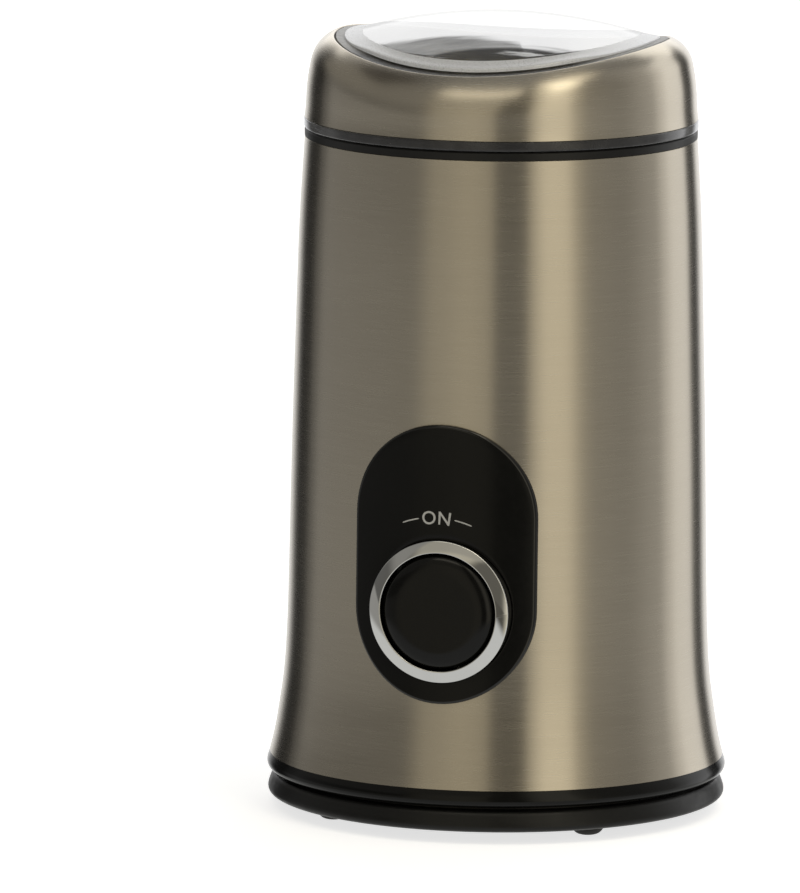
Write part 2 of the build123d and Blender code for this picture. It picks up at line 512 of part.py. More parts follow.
BL_T = 1.4
BL_Z = 119.65
wing_pts = [(5.5, -5.6), (12.0, -5.2), (22.0, -4.2), (28.4, -2.4), (29.6, 0.6), (27.5, 2.9), (20.0, 4.4), (10.0, 5.4), (5.5, 5.6)]
blade = cyl(6.6, BL_Z, BL_Z + BL_T)
for a, tilt in ((0, 9.0), (180, -3.0)):
    w = extrude(Plane.XY * make_face(Polyline(*wing_pts, close=True)), BL_T)
    w = w - (Pos(16, -5.6, BL_T + 0.5) * Rot(28, 0, 0) * Box(30, 4.0, 2.2))
    w = Pos(0, 0, BL_Z) * Rot(0, 0, a) * Pos(5.5, 0, 0) * Rot(0, -tilt, 0) * Pos(-5.5, 0, 0) * w
    blade += w
blade -= cyl(2.45, 110, 130)
save("grinding_blade", blade)

bnut = extrude(Plane.XY.offset(BL_Z + BL_T + 0.05) * RegularPolygon(4.6, 6), 2.4)
bnut += cyl(4.9, BL_Z + BL_T + 0.05, BL_Z + BL_T + 0.6)
bnut -= cyl(2.45, 110, 123.9)
cap_n = Pos(0, 0, BL_Z + BL_T + 2.4) * (Sphere(3.7) & box(-5, 5, -5, 5, 0, 5))
bnut += cap_n - cyl(2.5, 110, 124.2)
save("blade_nut", bnut)

# ----------------------------------------------------------------- interlock
rod = cyl(ROD_R, ROD_Z0, ROD_Z1, 0, ROD_Y) + cyl(3.5, 132.2, 133.6, 0, ROD_Y)
save("interlock_rod", rod)
isp = Pos(0, ROD_Y, 127.4) * helix_spring(2.85, 0.5, 4.4, 4)
save("interlock_spring", isp)
isw = box(-IL_X, IL_X, IL_Y0, IL_Y1, IL_Z0, IL_Z1)
isw -= cyl(1.5, 117.0, 125, 0, ROD_Y)
for x in (-7.0, 7.0):
    isw += box(x - 1.2, x + 1.2, 35.6, IL_Y0 + 0.1, 114.0, 114.6)
save("interlock_switch", isw)
ipl = cyl(1.4, 118.2, 123.05, 0, ROD_Y)
save("interlock_plunger", ipl)

# ---------------------------------------------------------------------- base
collar = turned([(47.4, 8.6), (52.3, 8.6), (53.1, 8.85), (53.7, 9.35), (54.0, 10.2), (53.85, 11.3), (53.45, 12.3),
                 (53.40, 12.65), (52.68, 12.65), (52.68, 13.1), (49.2, 13.1), (49.2, 17.0), (47.4, 17.0)])
base = turned([(0.0, 3.2), (50.6, 3.2), (51.6, 2.8), (52.9, 3.0), (53.6, 3.6), (53.75, 4.4), (53.3, 6.0), (52.75, 7.2),
               (52.3, 7.7), (GROOVE_R, 7.7), (GROOVE_R, 8.55), (47.6, 8.55), (47.6, 5.5), (0.0, 5.5)])
gland_cut = ycyl(GLAND_R + 0.06, 40, 60, 0, GLAND_Z)
flange_cut = ycyl(5.4, 48.6, 51.0, 0, GLAND_Z)
floor_keep = box(-60, 60, -60, 60, 4.3, 60)

for a in BASE_SCREW_ANGLES:
    x, y = BASE_SCREW_R * cos(radians(a)), BASE_SCREW_R * sin(radians(a))
    base += cyl(4.6, 5.3, 13.1, x, y)
    base -= cyl(3.6, 3.0, 8.6, x, y)
    base -= cyl(1.8, 3.0, 20.0, x, y)
for sx in (-1, 1):
    for sy in (-1, 1):
        d = FOOT_POS_R / sqrt(2)
        base += cyl(FOOT_R + 1.6, 5.3, 6.3, sx * d, sy * d)
        base -= cyl(FOOT_R + 0.05, 2.0, FOOT_TOP + 0.05, sx * d, sy * d)
# vent slots under the fan
for i in range(16):
    s = box(12.0, 27.0, -1.1, 1.1, 2.0, 7.0) + cyl(1.1, 2.0, 7.0, 12.0, 0) + cyl(1.1, 2.0, 7.0, 27.0, 0)
    base -= Rot(0, 0, i * 22.5) * s
# ring wall round the vents
base += turned([(30.0, 5.4), (31.2, 5.4), (31.2, 8.5), (30.0, 8.5)])
base -= gland_cut
collar -= gland_cut
collar -= ycyl(5.5, 48.55, 51.05, 0, GLAND_Z)
base -= ycyl(5.5, 48.55, 51.05, 0, GLAND_Z) & box(-10, 10, 40, 60, 3.3, 12)
# the collar's lugs that the base screws pass
for a in BASE_SCREW_ANGLES:
    x, y = BASE_SCREW_R * cos(radians(a)), BASE_SCREW_R * sin(radians(a))
save("base_collar", collar)
save("base_plate", base)

gland = ycyl(GLAND_R, 44.5, 53.6, 0, GLAND_Z) + ycyl(4.75, 48.7, 50.9, 0, GLAND_Z)
gland -= ycyl(GLAND_BORE_R, 40, 60, 0, GLAND_Z)
save("cord_gland", gland)

bs = []
for a in BASE_SCREW_ANGLES:
    x, y = BASE_SCREW_R * cos(radians(a)), BASE_SCREW_R * sin(radians(a))
    s = cyl(1.3, 7.0, 26.0, x, y) + cyl(3.1, 6.7, 8.55, x, y)
    s -= box(x - 1.9, x + 1.9, y - 0.35, y + 0.35, 6.5, 7.5) + box(x - 0.35, x + 0.35, y - 1.9, y + 1.9, 6.5, 7.5)
    bs.append(s)
save("base_screws", bs)

feet = []
for sx in (-1, 1):
    for sy in (-1, 1):
        d = FOOT_POS_R / sqrt(2)
        f = Pos(sx * d, sy * d, 0) * turned([(0, 0), (1.7, 0), (2.6, 0.35), (3.35, 1.0), (3.85, 1.9), (FOOT_R, 2.8),
                                             (FOOT_R, FOOT_TOP), (0, FOOT_TOP)])
        feet.append(f)
save("rubber_feet", feet)

# --------------------------------------------------- terminal block and leads
tb = box(-11.0, 11.0, 31.6, 39.4, 5.6, 14.0)
tb = fillet(tb.edges().filter_by(Axis.Z), 1.0)
for x in (-7.0, 0.0, 7.0):
    tb -= ycyl(1.5, 30, 42, x, 9.5)
    tb -= cyl(1.6, 11.0, 15.0, x, 35.5)
save("terminal_block", tb)


def lead(name, pts, radii, r=0.9):
    path = FilletPolyline(*pts, radius=radii)
    w = path.wire() if hasattr(path, "wire") else path
    sec = Plane(origin=w @ 0, z_dir=w % 0) * Circle(r)
    s = sweep(sec, path=w)
    L = w.length
    print(f"{name}: length {L:.1f} mm, volume ratio {s.volume / (pi * r * r * L):.3f}, radii {radii}")
    save(name, s)


# live lead: terminal block, up the right wall, to the interlock switch
lead("lead_interlock", [(7.0, 31.4, 9.5), (7.0, 28.0, 9.5), (28.0, 29.0, 10.5), (33.5, 23.5, 24.0), (31.0, 22.0, 60.0),
                        (31.0, 22.0, 116.0), (22.0, 33.0, 119.5), (7.0, 34.2, 116.5), (7.0, 34.6, 115.2)],
     [1.6, 6.0, 7.0, 12.0, 9.0, 7.0, 0.5])
# switched lead: terminal block, round the left wall, to the button switch
lead("lead_switch", [(-7.0, 31.4, 9.5), (-7.0, 28.0, 9.5), (-25.0, 27.0, 10.5), (-33.0, 6.0, 22.0), (-32.5, -10.0, 40.0),
                     (-22.0, -13.6, 50.0), (-6.4, -14.8, 54.0), (-6.4, -16.05, 54.0)],
     [1.6, 8.0, 10.0, 8.0, 6.0, 0.5])
# motor lead: button switch to the right brush holder
lead("lead_motor", [(6.4, -16.05, 54.0), (6.4, -14.3, 54.0), (16.0, -13.0, 50.5), (22.0, -8.0, 48.0), (22.0, -4.3, 48.0)],
     [0.7, 5.0, 1.6])
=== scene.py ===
import math

import bpy
import numpy as np
from mathutils import Matrix, Quaternion, Vector


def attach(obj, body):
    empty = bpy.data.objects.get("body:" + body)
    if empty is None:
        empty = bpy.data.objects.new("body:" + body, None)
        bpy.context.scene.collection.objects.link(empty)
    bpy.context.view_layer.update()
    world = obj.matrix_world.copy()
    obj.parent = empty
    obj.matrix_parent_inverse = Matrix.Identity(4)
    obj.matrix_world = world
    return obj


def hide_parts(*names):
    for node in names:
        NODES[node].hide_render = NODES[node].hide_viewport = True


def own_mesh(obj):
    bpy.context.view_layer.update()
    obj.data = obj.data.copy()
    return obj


# Electric spice grinder.  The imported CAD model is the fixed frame; the pieces
# built here replace the nodes whose surface is seen.  Lengths in this file are
# millimetres until a mesh is made; meshes are in metres.

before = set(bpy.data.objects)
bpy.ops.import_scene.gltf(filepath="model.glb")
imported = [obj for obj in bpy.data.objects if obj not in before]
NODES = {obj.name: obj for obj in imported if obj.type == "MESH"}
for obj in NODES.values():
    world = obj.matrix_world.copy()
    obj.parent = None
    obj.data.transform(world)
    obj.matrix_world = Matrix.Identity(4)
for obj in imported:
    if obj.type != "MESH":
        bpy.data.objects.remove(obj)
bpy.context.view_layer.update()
MM = 0.001
PI = math.pi

# ------------------------------------------------------------------ camera
# Pinhole fitted to an 800 x 893 frame: distance, elevation, azimuth and roll
# about the point (0, 0, 85.2 mm), which falls 98.6 px right of the centre.
CAM_D, CAM_EL, CAM_AZ, CAM_ROLL = 2800.0, 8.963, 15.5, 0.485
CAM_PX_MM, CAM_CX, CAM_CY, CAM_TZ = 4.252, 498.634, 446.5, 85.2
IMG_W, IMG_H = 800, 893


def make_camera():
    f = CAM_PX_MM * CAM_D
    az, el = math.radians(CAM_AZ), math.radians(CAM_EL)
    back = Vector((math.sin(az) * math.cos(el), -math.cos(az) * math.cos(el), math.sin(el)))
    right = Vector((math.cos(az), math.sin(az), 0.0))
    up = back.cross(right)
    loc = Vector((0, 0, CAM_TZ)) + back * CAM_D
    rot = Matrix((right, up, back)).transposed()
    # the top of the picture leans clockwise: roll the camera anticlockwise
    rot = rot @ Matrix.Rotation(math.radians(CAM_ROLL), 3, "Z")
    ax = math.atan((CAM_CX - IMG_W / 2) / f)
    ay = math.atan((CAM_CY - IMG_H / 2) / f)
    # turn left so that the target falls right of the centre
    rot = rot @ Matrix.Rotation(ax, 3, "Y") @ Matrix.Rotation(ay, 3, "X")
    data = bpy.data.cameras.new("studio_camera")
    data.sensor_fit = "AUTO"
    data.sensor_width = 36.0
    data.lens = f / max(IMG_W, IMG_H) * 36.0
    data.clip_start, data.clip_end = 0.05, 60.0
    cam = bpy.data.objects.new("studio_camera", data)
    cam.matrix_world = Matrix.Translation(loc * MM) @ rot.to_4x4()
    bpy.context.scene.collection.objects.link(cam)
    bpy.context.scene.camera = cam
    return cam


make_camera()

# -------------------------------------------------------------- node helper
class Graph:
    """Small wrapper that keeps shader graphs readable."""

    def __init__(self, tree):
        self.t = tree
        self.t.nodes.clear()

    def n(self, kind, **kw):
        node = self.t.nodes.new(kind)
        for k, v in kw.items():
            setattr(node, k, v)
        return node

    def link(self, a, b):
        self.t.links.new(a, b)

    def put(self, sock, v):
        if hasattr(v, "is_output"):
            self.link(v, sock)
        elif v is not None:
            sock.default_value = v

    def math(self, op, a, b=None, c=None, clamp=False):
        m = self.n("ShaderNodeMath", operation=op, use_clamp=clamp)
        self.put(m.inputs[0], a)
        if b is not None:
            self.put(m.inputs[1], b)
        if c is not None:
            self.put(m.inputs[2], c)
        return m.outputs[0]

    def coords(self, kind="Object"):
        return self.n("ShaderNodeTexCoord").outputs[kind]

    def xyz(self, v):
        s = self.n("ShaderNodeSeparateXYZ")
        self.link(v, s.inputs[0])
        return s.outputs[0], s.outputs[1], s.outputs[2]

    def vec(self, x, y, z):
        c = self.n("ShaderNodeCombineXYZ")
        for i, v in enumerate((x, y, z)):
            self.put(c.inputs[i], v)
        return c.outputs[0]

    def scaled(self, v, sx, sy, sz):
        m = self.n("ShaderNodeMapping")
        self.link(v, m.inputs["Vector"])
        m.inputs["Scale"].default_value = (sx, sy, sz)
        return m.outputs[0]

    def noise(self, v, scale=1.0, detail=2.0, rough=0.5, distort=0.0):
        n = self.n("ShaderNodeTexNoise")
        self.link(v, n.inputs["Vector"])
        n.inputs["Scale"].default_value = scale
        n.inputs["Detail"].default_value = detail
        n.inputs["Roughness"].default_value = rough
        n.inputs["Distortion"].default_value = distort
        return n.outputs[0]

    def remap(self, v, a, b, c, d, kind="LINEAR"):
        m = self.n("ShaderNodeMapRange", interpolation_type=kind)
        self.put(m.inputs[0], v)
        for i, x in enumerate((a, b, c, d)):
            m.inputs[i + 1].default_value = x
        return m.outputs[0]

    def ramp(self, v, stops, kind="LINEAR"):
        r = self.n("ShaderNodeValToRGB")
        r.color_ramp.interpolation = kind
        e = r.color_ramp.elements
        while len(e) > 1:
            e.remove(e[-1])
        e[0].position = stops[0][0]
        e[0].color = (*stops[0][1], 1)
        for p, c in stops[1:]:
            x = e.new(p)
            x.color = (*c, 1)
        self.put(r.inputs[0], v)
        return r.outputs[0]

    def mix(self, f, a, b):
        m = self.n("ShaderNodeMix", data_type="RGBA")
        self.put(m.inputs[0], f)
        self.put(m.inputs[6], a if hasattr(a, "is_output") else (*a, 1))
        self.put(m.inputs[7], b if hasattr(b, "is_output") else (*b, 1))
        return m.outputs[2]

    def bump(self, h, strength, distance, normal=None):
        b = self.n("ShaderNodeBump")
        b.inputs["Strength"].default_value = strength
        b.inputs["Distance"].default_value = distance
        self.link(h, b.inputs["Height"])
        if normal is not None:
            self.link(normal, b.inputs["Normal"])
        return b.outputs[0]

    def out(self, shader, kind="ShaderNodeOutputMaterial"):
        o = self.n(kind)
        self.link(shader, o.inputs["Surface"])


def new_material(name):
    m = bpy.data.materials.new(name)
    m.use_nodes = True
    return m, Graph(m.node_tree)


def principled(g, color, rough, metallic=0.0, normal=None, **direct):
    p = g.n("ShaderNodeBsdfPrincipled")
    g.put(p.inputs["Base Color"], color if hasattr(color, "is_output") else (*color, 1))
    g.put(p.inputs["Roughness"], rough)
    p.inputs["Metallic"].default_value = metallic
    if normal is not None:
        g.link(normal, p.inputs["Normal"])
    for k, v in direct.items():
        p.inputs[k.replace("_", " ")].default_value = v
    return p


# ---------------------------------------------------------------- materials
def around_z(g):
    """(cos, sin) round the vertical axis, and a length that grows up the wall
    and inwards over the shoulder, so lines along it run round the object."""
    x, y, z = g.xyz(g.coords())
    r = g.math("SQRT", g.math("ADD", g.math("MULTIPLY", x, x), g.math("MULTIPLY", y, y)))
    rs = g.math("MAXIMUM", r, 1e-5)
    return g.math("DIVIDE", x, rs), g.math("DIVIDE", y, rs), g.math("SUBTRACT", z, r), z


def brushed(name, lo, hi, rough, aniso, line=0.30, depth=0.35):
    """Stainless steel brushed round the axis."""
    m, g = new_material(name)
    c, s, w, z = around_z(g)

    def streak(k, pitch_mm, detail=2.0):
        v = g.vec(g.math("MULTIPLY", c, k), g.math("MULTIPLY", s, k), g.math("MULTIPLY", w, 1000.0 / pitch_mm))
        return g.noise(v, 1.0, detail, 0.6)

    fine = streak(9.0, line * 0.45, 1.0)
    mid = streak(4.0, line * 1.3, 2.0)
    wide = streak(1.6, line * 7.0, 2.0)
    cloud = g.noise(g.coords(), 38.0, 2.0, 0.5)
    both = g.math("ADD", g.math("MULTIPLY", fine, 0.45), g.math("MULTIPLY", mid, 0.55))
    tone = g.math("ADD", g.math("MULTIPLY", both, 0.62),
                  g.math("ADD", g.math("MULTIPLY", wide, 0.22), g.math("MULTIPLY", cloud, 0.16)))
    col = g.mix(g.remap(tone, 0.32, 0.68, 0.0, 1.0), lo, hi)
    ro = g.remap(both, 0.3, 0.7, rough - 0.022, rough + 0.022)
    nrm = g.bump(both, depth, 0.00002)
    p = principled(g, col, ro, 1.0, nrm, Anisotropic=aniso, Anisotropic_Rotation=0.25)
    tan = g.n("ShaderNodeTangent", direction_type="RADIAL", axis="Z")
    g.link(tan.outputs[0], p.inputs["Tangent"])
    g.out(p.outputs[0])
    return m


def turned_metal(name, lo, hi, rough, aniso=0.0, axis="Z", pitch_mm=0.35, depth=0.2):
    """Metal with fine lines round an axis."""
    m, g = new_material(name)
    c, s, w, z = around_z(g)
    v = g.vec(g.math("MULTIPLY", c, 3.0), g.math("MULTIPLY", s, 3.0), g.math("MULTIPLY", w, 1000.0 / pitch_mm))
    lines = g.noise(v, 1.0, 2.0, 0.6)
    blot = g.noise(g.coords(), 120.0, 3.0, 0.55)
    col = g.mix(g.remap(blot, 0.3, 0.7, 0.0, 1.0), lo, hi)
    ro = g.math("ADD", g.remap(lines, 0.3, 0.7, rough - 0.04, rough + 0.04), g.remap(blot, 0.3, 0.7, -0.02, 0.03))
    nrm = g.bump(lines, depth, 0.00002)
    p = principled(g, col, ro, 1.0, nrm, Anisotropic=aniso, Anisotropic_Rotation=0.25)
    if aniso:
        tan = g.n("ShaderNodeTangent", direction_type="RADIAL", axis=axis)
        g.link(tan.outputs[0], p.inputs["Tangent"])
    g.out(p.outputs[0])
    return m


def ground_metal(name, lo, hi, rough, direction=(1, 14, 14), pitch=700.0, depth=0.25):
    """Metal with straight grinding lines, or a plain mottled finish."""
    m, g = new_material(name)
    v = g.scaled(g.coords(), *direction)
    lines = g.noise(v, pitch / 14.0, 3.0, 0.6)
    blot = g.noise(g.coords(), 180.0, 3.0, 0.5)
    col = g.mix(g.remap(g.math("ADD", g.math("MULTIPLY", lines, 0.5), g.math("MULTIPLY", blot, 0.5)), 0.35, 0.65, 0.0, 1.0), lo, hi)
    ro = g.remap(lines, 0.3, 0.7, rough - 0.06, rough + 0.06)
    p = principled(g, col, ro, 1.0, g.bump(lines, depth, 0.00003))
    g.out(p.outputs[0])
    return m


def chrome(name):
    m, g = new_material(name)
    film = g.noise(g.coords(), 90.0, 3.0, 0.5)
    dust = g.noise(g.coords(), 2600.0, 1.0, 0.5)
    col = g.mix(g.remap(film, 0.3, 0.7, 0.0, 1.0), (0.74, 0.745, 0.735), (0.80, 0.80, 0.79))
    ro = g.math("ADD", g.remap(film, 0.3, 0.7, 0.035, 0.06), g.remap(dust, 0.62, 0.75, 0.0, 0.05))
    p = principled(g, col, ro, 1.0, g.bump(film, 0.03, 0.00005))
    g.out(p.outputs[0])
    return m


def plastic(name, lo, hi, rough, grain=900.0, depth=0.12, dist=0.00002, spec=0.5, mottle=45.0, rough_var=0.05, coat=0.0):
    """Moulded plastic: fine grain, slow mottling and a varying gloss."""
    m, g = new_material(name)
    co = g.coords()
    fine = g.noise(co, grain, 2.0, 0.55)
    slow = g.noise(co, mottle, 2.0, 0.5)
    mid = g.noise(co, mottle * 7.0, 2.0, 0.5)
    col = g.mix(g.remap(g.math("ADD", g.math("MULTIPLY", slow, 0.6), g.math("MULTIPLY", fine, 0.4)), 0.35, 0.65, 0.0, 1.0), lo, hi)
    ro = g.math("ADD", g.remap(mid, 0.3, 0.7, rough - rough_var, rough + rough_var), g.remap(fine, 0.35, 0.65, -0.01, 0.02))
    p = principled(g, col, ro, 0.0, g.bump(fine, depth, dist), Specular_IOR_Level=spec, Coat_Weight=coat, Coat_Roughness=0.08)
    g.out(p.outputs[0])
    return m


def clear_plastic(name, tint_lo, tint_hi, rough=0.03, haze=0.02, shine=1.0):
    """Thin clear plastic: what is behind it shows through, and its outer side
    shines more towards the edges.  shine 0 is the inner side of the moulding."""
    m, g = new_material(name)
    co = g.coords()
    slow = g.noise(co, 60.0, 2.0, 0.5)
    wave = g.noise(co, 22.0, 1.0, 0.5)
    fleck = g.noise(co, 900.0, 2.0, 0.6)
    nrm = g.bump(wave, 0.04, 0.0004)
    tr = g.n("ShaderNodeBsdfTransparent")
    g.link(g.mix(g.remap(slow, 0.3, 0.7, 0.0, 1.0), tint_lo, tint_hi), tr.inputs[0])
    p = principled(g, g.mix(slow, (0.60, 0.60, 0.60), (0.70, 0.70, 0.695)), g.remap(slow, 0.3, 0.7, 0.3, 0.4), 0.0, nrm,
                   Specular_IOR_Level=0.3)
    a = g.n("ShaderNodeMixShader")
    g.link(g.math("ADD", haze, g.remap(fleck, 0.62, 0.78, 0.0, haze)), a.inputs[0])
    g.link(tr.outputs[0], a.inputs[1])
    g.link(p.outputs[0], a.inputs[2])
    if shine <= 0.0:
        g.out(a.outputs[0])
        return m
    gl = g.n("ShaderNodeBsdfGlossy")
    g.link(g.mix(slow, (0.79, 0.79, 0.79), (0.84, 0.84, 0.84)), gl.inputs["Color"])
    g.link(g.remap(slow, 0.3, 0.7, rough, rough + 0.03), gl.inputs["Roughness"])
    g.link(nrm, gl.inputs["Normal"])
    lw = g.n("ShaderNodeLayerWeight")
    lw.inputs[0].default_value = 0.5
    g.link(nrm, lw.inputs["Normal"])
    f5 = g.math("POWER", lw.outputs["Facing"], 5.0)
    geo = g.n("ShaderNodeNewGeometry")
    front = g.math("SUBTRACT", 1.0, geo.outputs["Backfacing"])
    # polished and lightly coated: the shine grows quickly towards grazing view
    wide = g.remap(lw.outputs["Facing"], 0.40, 0.54, 0.0, 0.58 * shine, "SMOOTHSTEP")
    fr = g.math("MULTIPLY", g.math("ADD", g.math("ADD", g.math("MULTIPLY", f5, 0.25 * shine), 0.09), wide), front)
    b = g.n("ShaderNodeMixShader")
    g.link(fr, b.inputs[0])
    g.link(a.outputs[0], b.inputs[1])
    g.link(gl.outputs[0], b.inputs[2])
    g.out(b.outputs[0])
    return m


def frosted_plastic(name, lo, hi, rough=0.42, see=0.35, grain=1500.0, depth=0.5, gloss=0.0, graze=0.0, gloss_rough=0.2, edge=None, painted_glow=0.0,
                    painted_light_rise=None):
    """Etched clear plastic: grey, finely grained, partly see-through, with a
    soft sheen of its own. Its colour is painted lighter towards grazing view
    (a painted sheen), can be painted paler towards the high ends of the part
    (painted light), and can glow though it is no lamp (painted light)."""
    m, g = new_material(name)
    co = g.coords()
    fine = g.noise(co, grain, 2.0, 0.6)
    slow = g.noise(co, 70.0, 2.0, 0.5)
    col = g.mix(g.remap(g.math("ADD", g.math("MULTIPLY", fine, 0.6), g.math("MULTIPLY", slow, 0.4)), 0.35, 0.65, 0.0, 1.0), lo, hi)
    lw = g.n("ShaderNodeLayerWeight")
    lw.inputs[0].default_value = 0.5
    facing = lw.outputs["Facing"]
    # painted sheen: the colour is mixed towards the edge colour as the surface turns to grazing view
    if edge is not None:
        col = g.mix(g.remap(facing, 0.42, 0.78, 0.0, 1.0), col, edge)
    # painted light: the colour is mixed towards a paler one with height
    if painted_light_rise is not None:    # paler towards the high ends of the part
        col = g.mix(g.remap(g.xyz(co)[2], painted_light_rise[0], painted_light_rise[1], 0.0, 1.0, "SMOOTHSTEP"), col, painted_light_rise[2])
    nrm = g.bump(fine, depth, 0.00004)
    p = principled(g, col, g.remap(slow, 0.3, 0.7, rough - 0.05, rough + 0.06), 0.0, nrm, Specular_IOR_Level=0.5)
    # painted light: emission makes the etched side glow, standing in for light carried inside the moulding
    if painted_glow > 0.0:      # light carried inside the clear moulding to its etched side
        g.link(col, p.inputs["Emission Color"])
        p.inputs["Emission Strength"].default_value = painted_glow
    tr = g.n("ShaderNodeBsdfTransparent")
    g.link(g.mix(fine, (0.50, 0.50, 0.51), (0.72, 0.72, 0.72)), tr.inputs[0])
    a = g.n("ShaderNodeMixShader")
    g.link(g.remap(fine, 0.35, 0.65, see + 0.05, see - 0.05), a.inputs[0])
    g.link(p.outputs[0], a.inputs[1])
    g.link(tr.outputs[0], a.inputs[2])
    if gloss <= 0.0 and graze <= 0.0:
        g.out(a.outputs[0])
        return m
    gl = g.n("ShaderNodeBsdfGlossy")
    g.link(g.mix(slow, (0.90, 0.91, 0.94), (0.95, 0.96, 0.98)), gl.inputs["Color"])
    g.link(g.remap(fine, 0.3, 0.7, gloss_rough - 0.02, gloss_rough + 0.03), gl.inputs["Roughness"])
    f4 = g.math("POWER", facing, 4.0)
    b = g.n("ShaderNodeMixShader")
    g.link(g.math("ADD", g.math("MULTIPLY", f4, graze), gloss), b.inputs[0])
    g.link(a.outputs[0], b.inputs[1])
    g.link(gl.outputs[0], b.inputs[2])
    g.out(b.outputs[0])
    return m


MAT = {
    "brushed_steel": brushed("brushed_steel_body", (0.488, 0.441, 0.361), (0.532, 0.482, 0.397), 0.260, 0.90, depth=0.04),
    "cap_steel": brushed("brushed_steel_lid_cap", (0.535, 0.484, 0.397), (0.582, 0.528, 0.436), 0.260, 0.90, depth=0.04),
    "bowl_steel": turned_metal("bowl_steel_turned", (0.52, 0.51, 0.48), (0.62, 0.61, 0.58), 0.24, 0.55),
    "blade_steel": ground_metal("blade_steel_ground", (0.50, 0.49, 0.47), (0.64, 0.63, 0.61), 0.26),
    "black_plastic_gloss": plastic("black_plastic_satin_gloss", (0.0032, 0.0032, 0.0029), (0.0046, 0.0046, 0.0042), 0.145, depth=0.04, spec=0.27, rough_var=0.025),
    "black_plastic_plate": plastic("black_plastic_plate_face", (0.0062, 0.0062, 0.0058), (0.0078, 0.0078, 0.0073), 0.17, depth=0.04, spec=0.17, rough_var=0.025),
    "black_plastic_edge": plastic("black_plastic_polished_edge", (0.0032, 0.0032, 0.0029), (0.0046, 0.0046, 0.0042), 0.11, depth=0.03, spec=0.42, rough_var=0.02, coat=0.2),
    "black_plastic": plastic("black_plastic_moulded", (0.0050, 0.0050, 0.0048), (0.0085, 0.0085, 0.0080), 0.36, grain=1400.0, depth=0.25, spec=0.35),
    "chrome_ring": chrome("chrome_plated"),
    "smoked_clear": clear_plastic("clear_lid_plastic", (0.955, 0.96, 0.96), (0.975, 0.98, 0.98)),
    "clear_inner": clear_plastic("clear_lid_plastic_inside", (0.965, 0.968, 0.968), (0.98, 0.982, 0.982), haze=0.012, shine=0.0),
    # painted light: the frosted flange glows at 0.19 from its own colour, lightening it without a lamp
    "frosted": frosted_plastic("frosted_lid_flange_painted_glow", (0.60, 0.61, 0.635), (0.67, 0.68, 0.705), see=0.06, grain=3200.0, depth=0.22, gloss=0.13, graze=0.30,
                               gloss_rough=0.28, painted_glow=0.19),
    # painted sheen: the rim's colour goes pale grey towards grazing view
    "rim": frosted_plastic("translucent_lid_rim_painted_sheen", (0.050, 0.050, 0.054), (0.062, 0.062, 0.066), rough=0.13, see=0.22, grain=300.0, depth=0.04, graze=0.85, gloss_rough=0.12,
                           edge=(0.24, 0.24, 0.245)),
    # painted shade: the low channel of the clear moulding is coloured near black for the shade in the gap under the
    # steel edge; it is painted paler towards its high ends (painted light) and lighter towards grazing view (painted
    # sheen)
    "channel": frosted_plastic("lid_channel_painted_shade", (0.020, 0.019, 0.018), (0.030, 0.029, 0.027), rough=0.30, see=0.35, grain=600.0, depth=0.05, graze=0.10,
                               gloss_rough=0.2, edge=(0.05, 0.05, 0.05), painted_light_rise=(0.1795, 0.1817, (0.55, 0.55, 0.56))),
    "black_rubber": plastic("black_rubber_matt", (0.012, 0.012, 0.012), (0.024, 0.024, 0.023), 0.75, grain=2200.0, depth=0.5),
    "brass": ground_metal("brass_drawn", (0.60, 0.43, 0.16), (0.72, 0.54, 0.24), 0.30),
    "zinc_steel": ground_metal("zinc_plated_steel", (0.52, 0.53, 0.54), (0.66, 0.67, 0.68), 0.34),
    "spring_steel": ground_metal("spring_steel_wire", (0.36, 0.36, 0.36), (0.50, 0.50, 0.50), 0.28),
    "red_plastic": plastic("red_switch_plastic", (0.38, 0.020, 0.014), (0.46, 0.030, 0.020), 0.36),
    "white_plastic": plastic("white_switch_plastic", (0.62, 0.61, 0.58), (0.72, 0.71, 0.68), 0.40),
    "grey_plastic": plastic("grey_moulded_plastic", (0.20, 0.20, 0.20), (0.27, 0.27, 0.27), 0.45),
    "lamination": ground_metal("core_laminations", (0.16, 0.16, 0.165), (0.30, 0.30, 0.31), 0.46, direction=(1, 1, 30), pitch=900.0, depth=0.6),
    "copper_winding": ground_metal("enamelled_copper", (0.42, 0.14, 0.05), (0.62, 0.25, 0.10), 0.30, direction=(3, 3, 30), pitch=900.0, depth=0.6),
    "die_cast": ground_metal("die_cast_zinc", (0.36, 0.36, 0.37), (0.50, 0.50, 0.51), 0.50, direction=(14, 14, 14), pitch=600.0),
    "carbon": plastic("carbon_brush", (0.020, 0.020, 0.022), (0.045, 0.045, 0.048), 0.55, grain=2500.0, depth=0.4),
    "lead_brown": plastic("lead_brown_sleeve", (0.085, 0.035, 0.016), (0.115, 0.050, 0.024), 0.45),
    "lead_blue": plastic("lead_blue_sleeve", (0.020, 0.055, 0.23), (0.032, 0.075, 0.30), 0.45),
    "ink": plastic("pad_printed_ink", (0.50, 0.50, 0.49), (0.60, 0.60, 0.59), 0.55, grain=3000.0, depth=0.15),
}


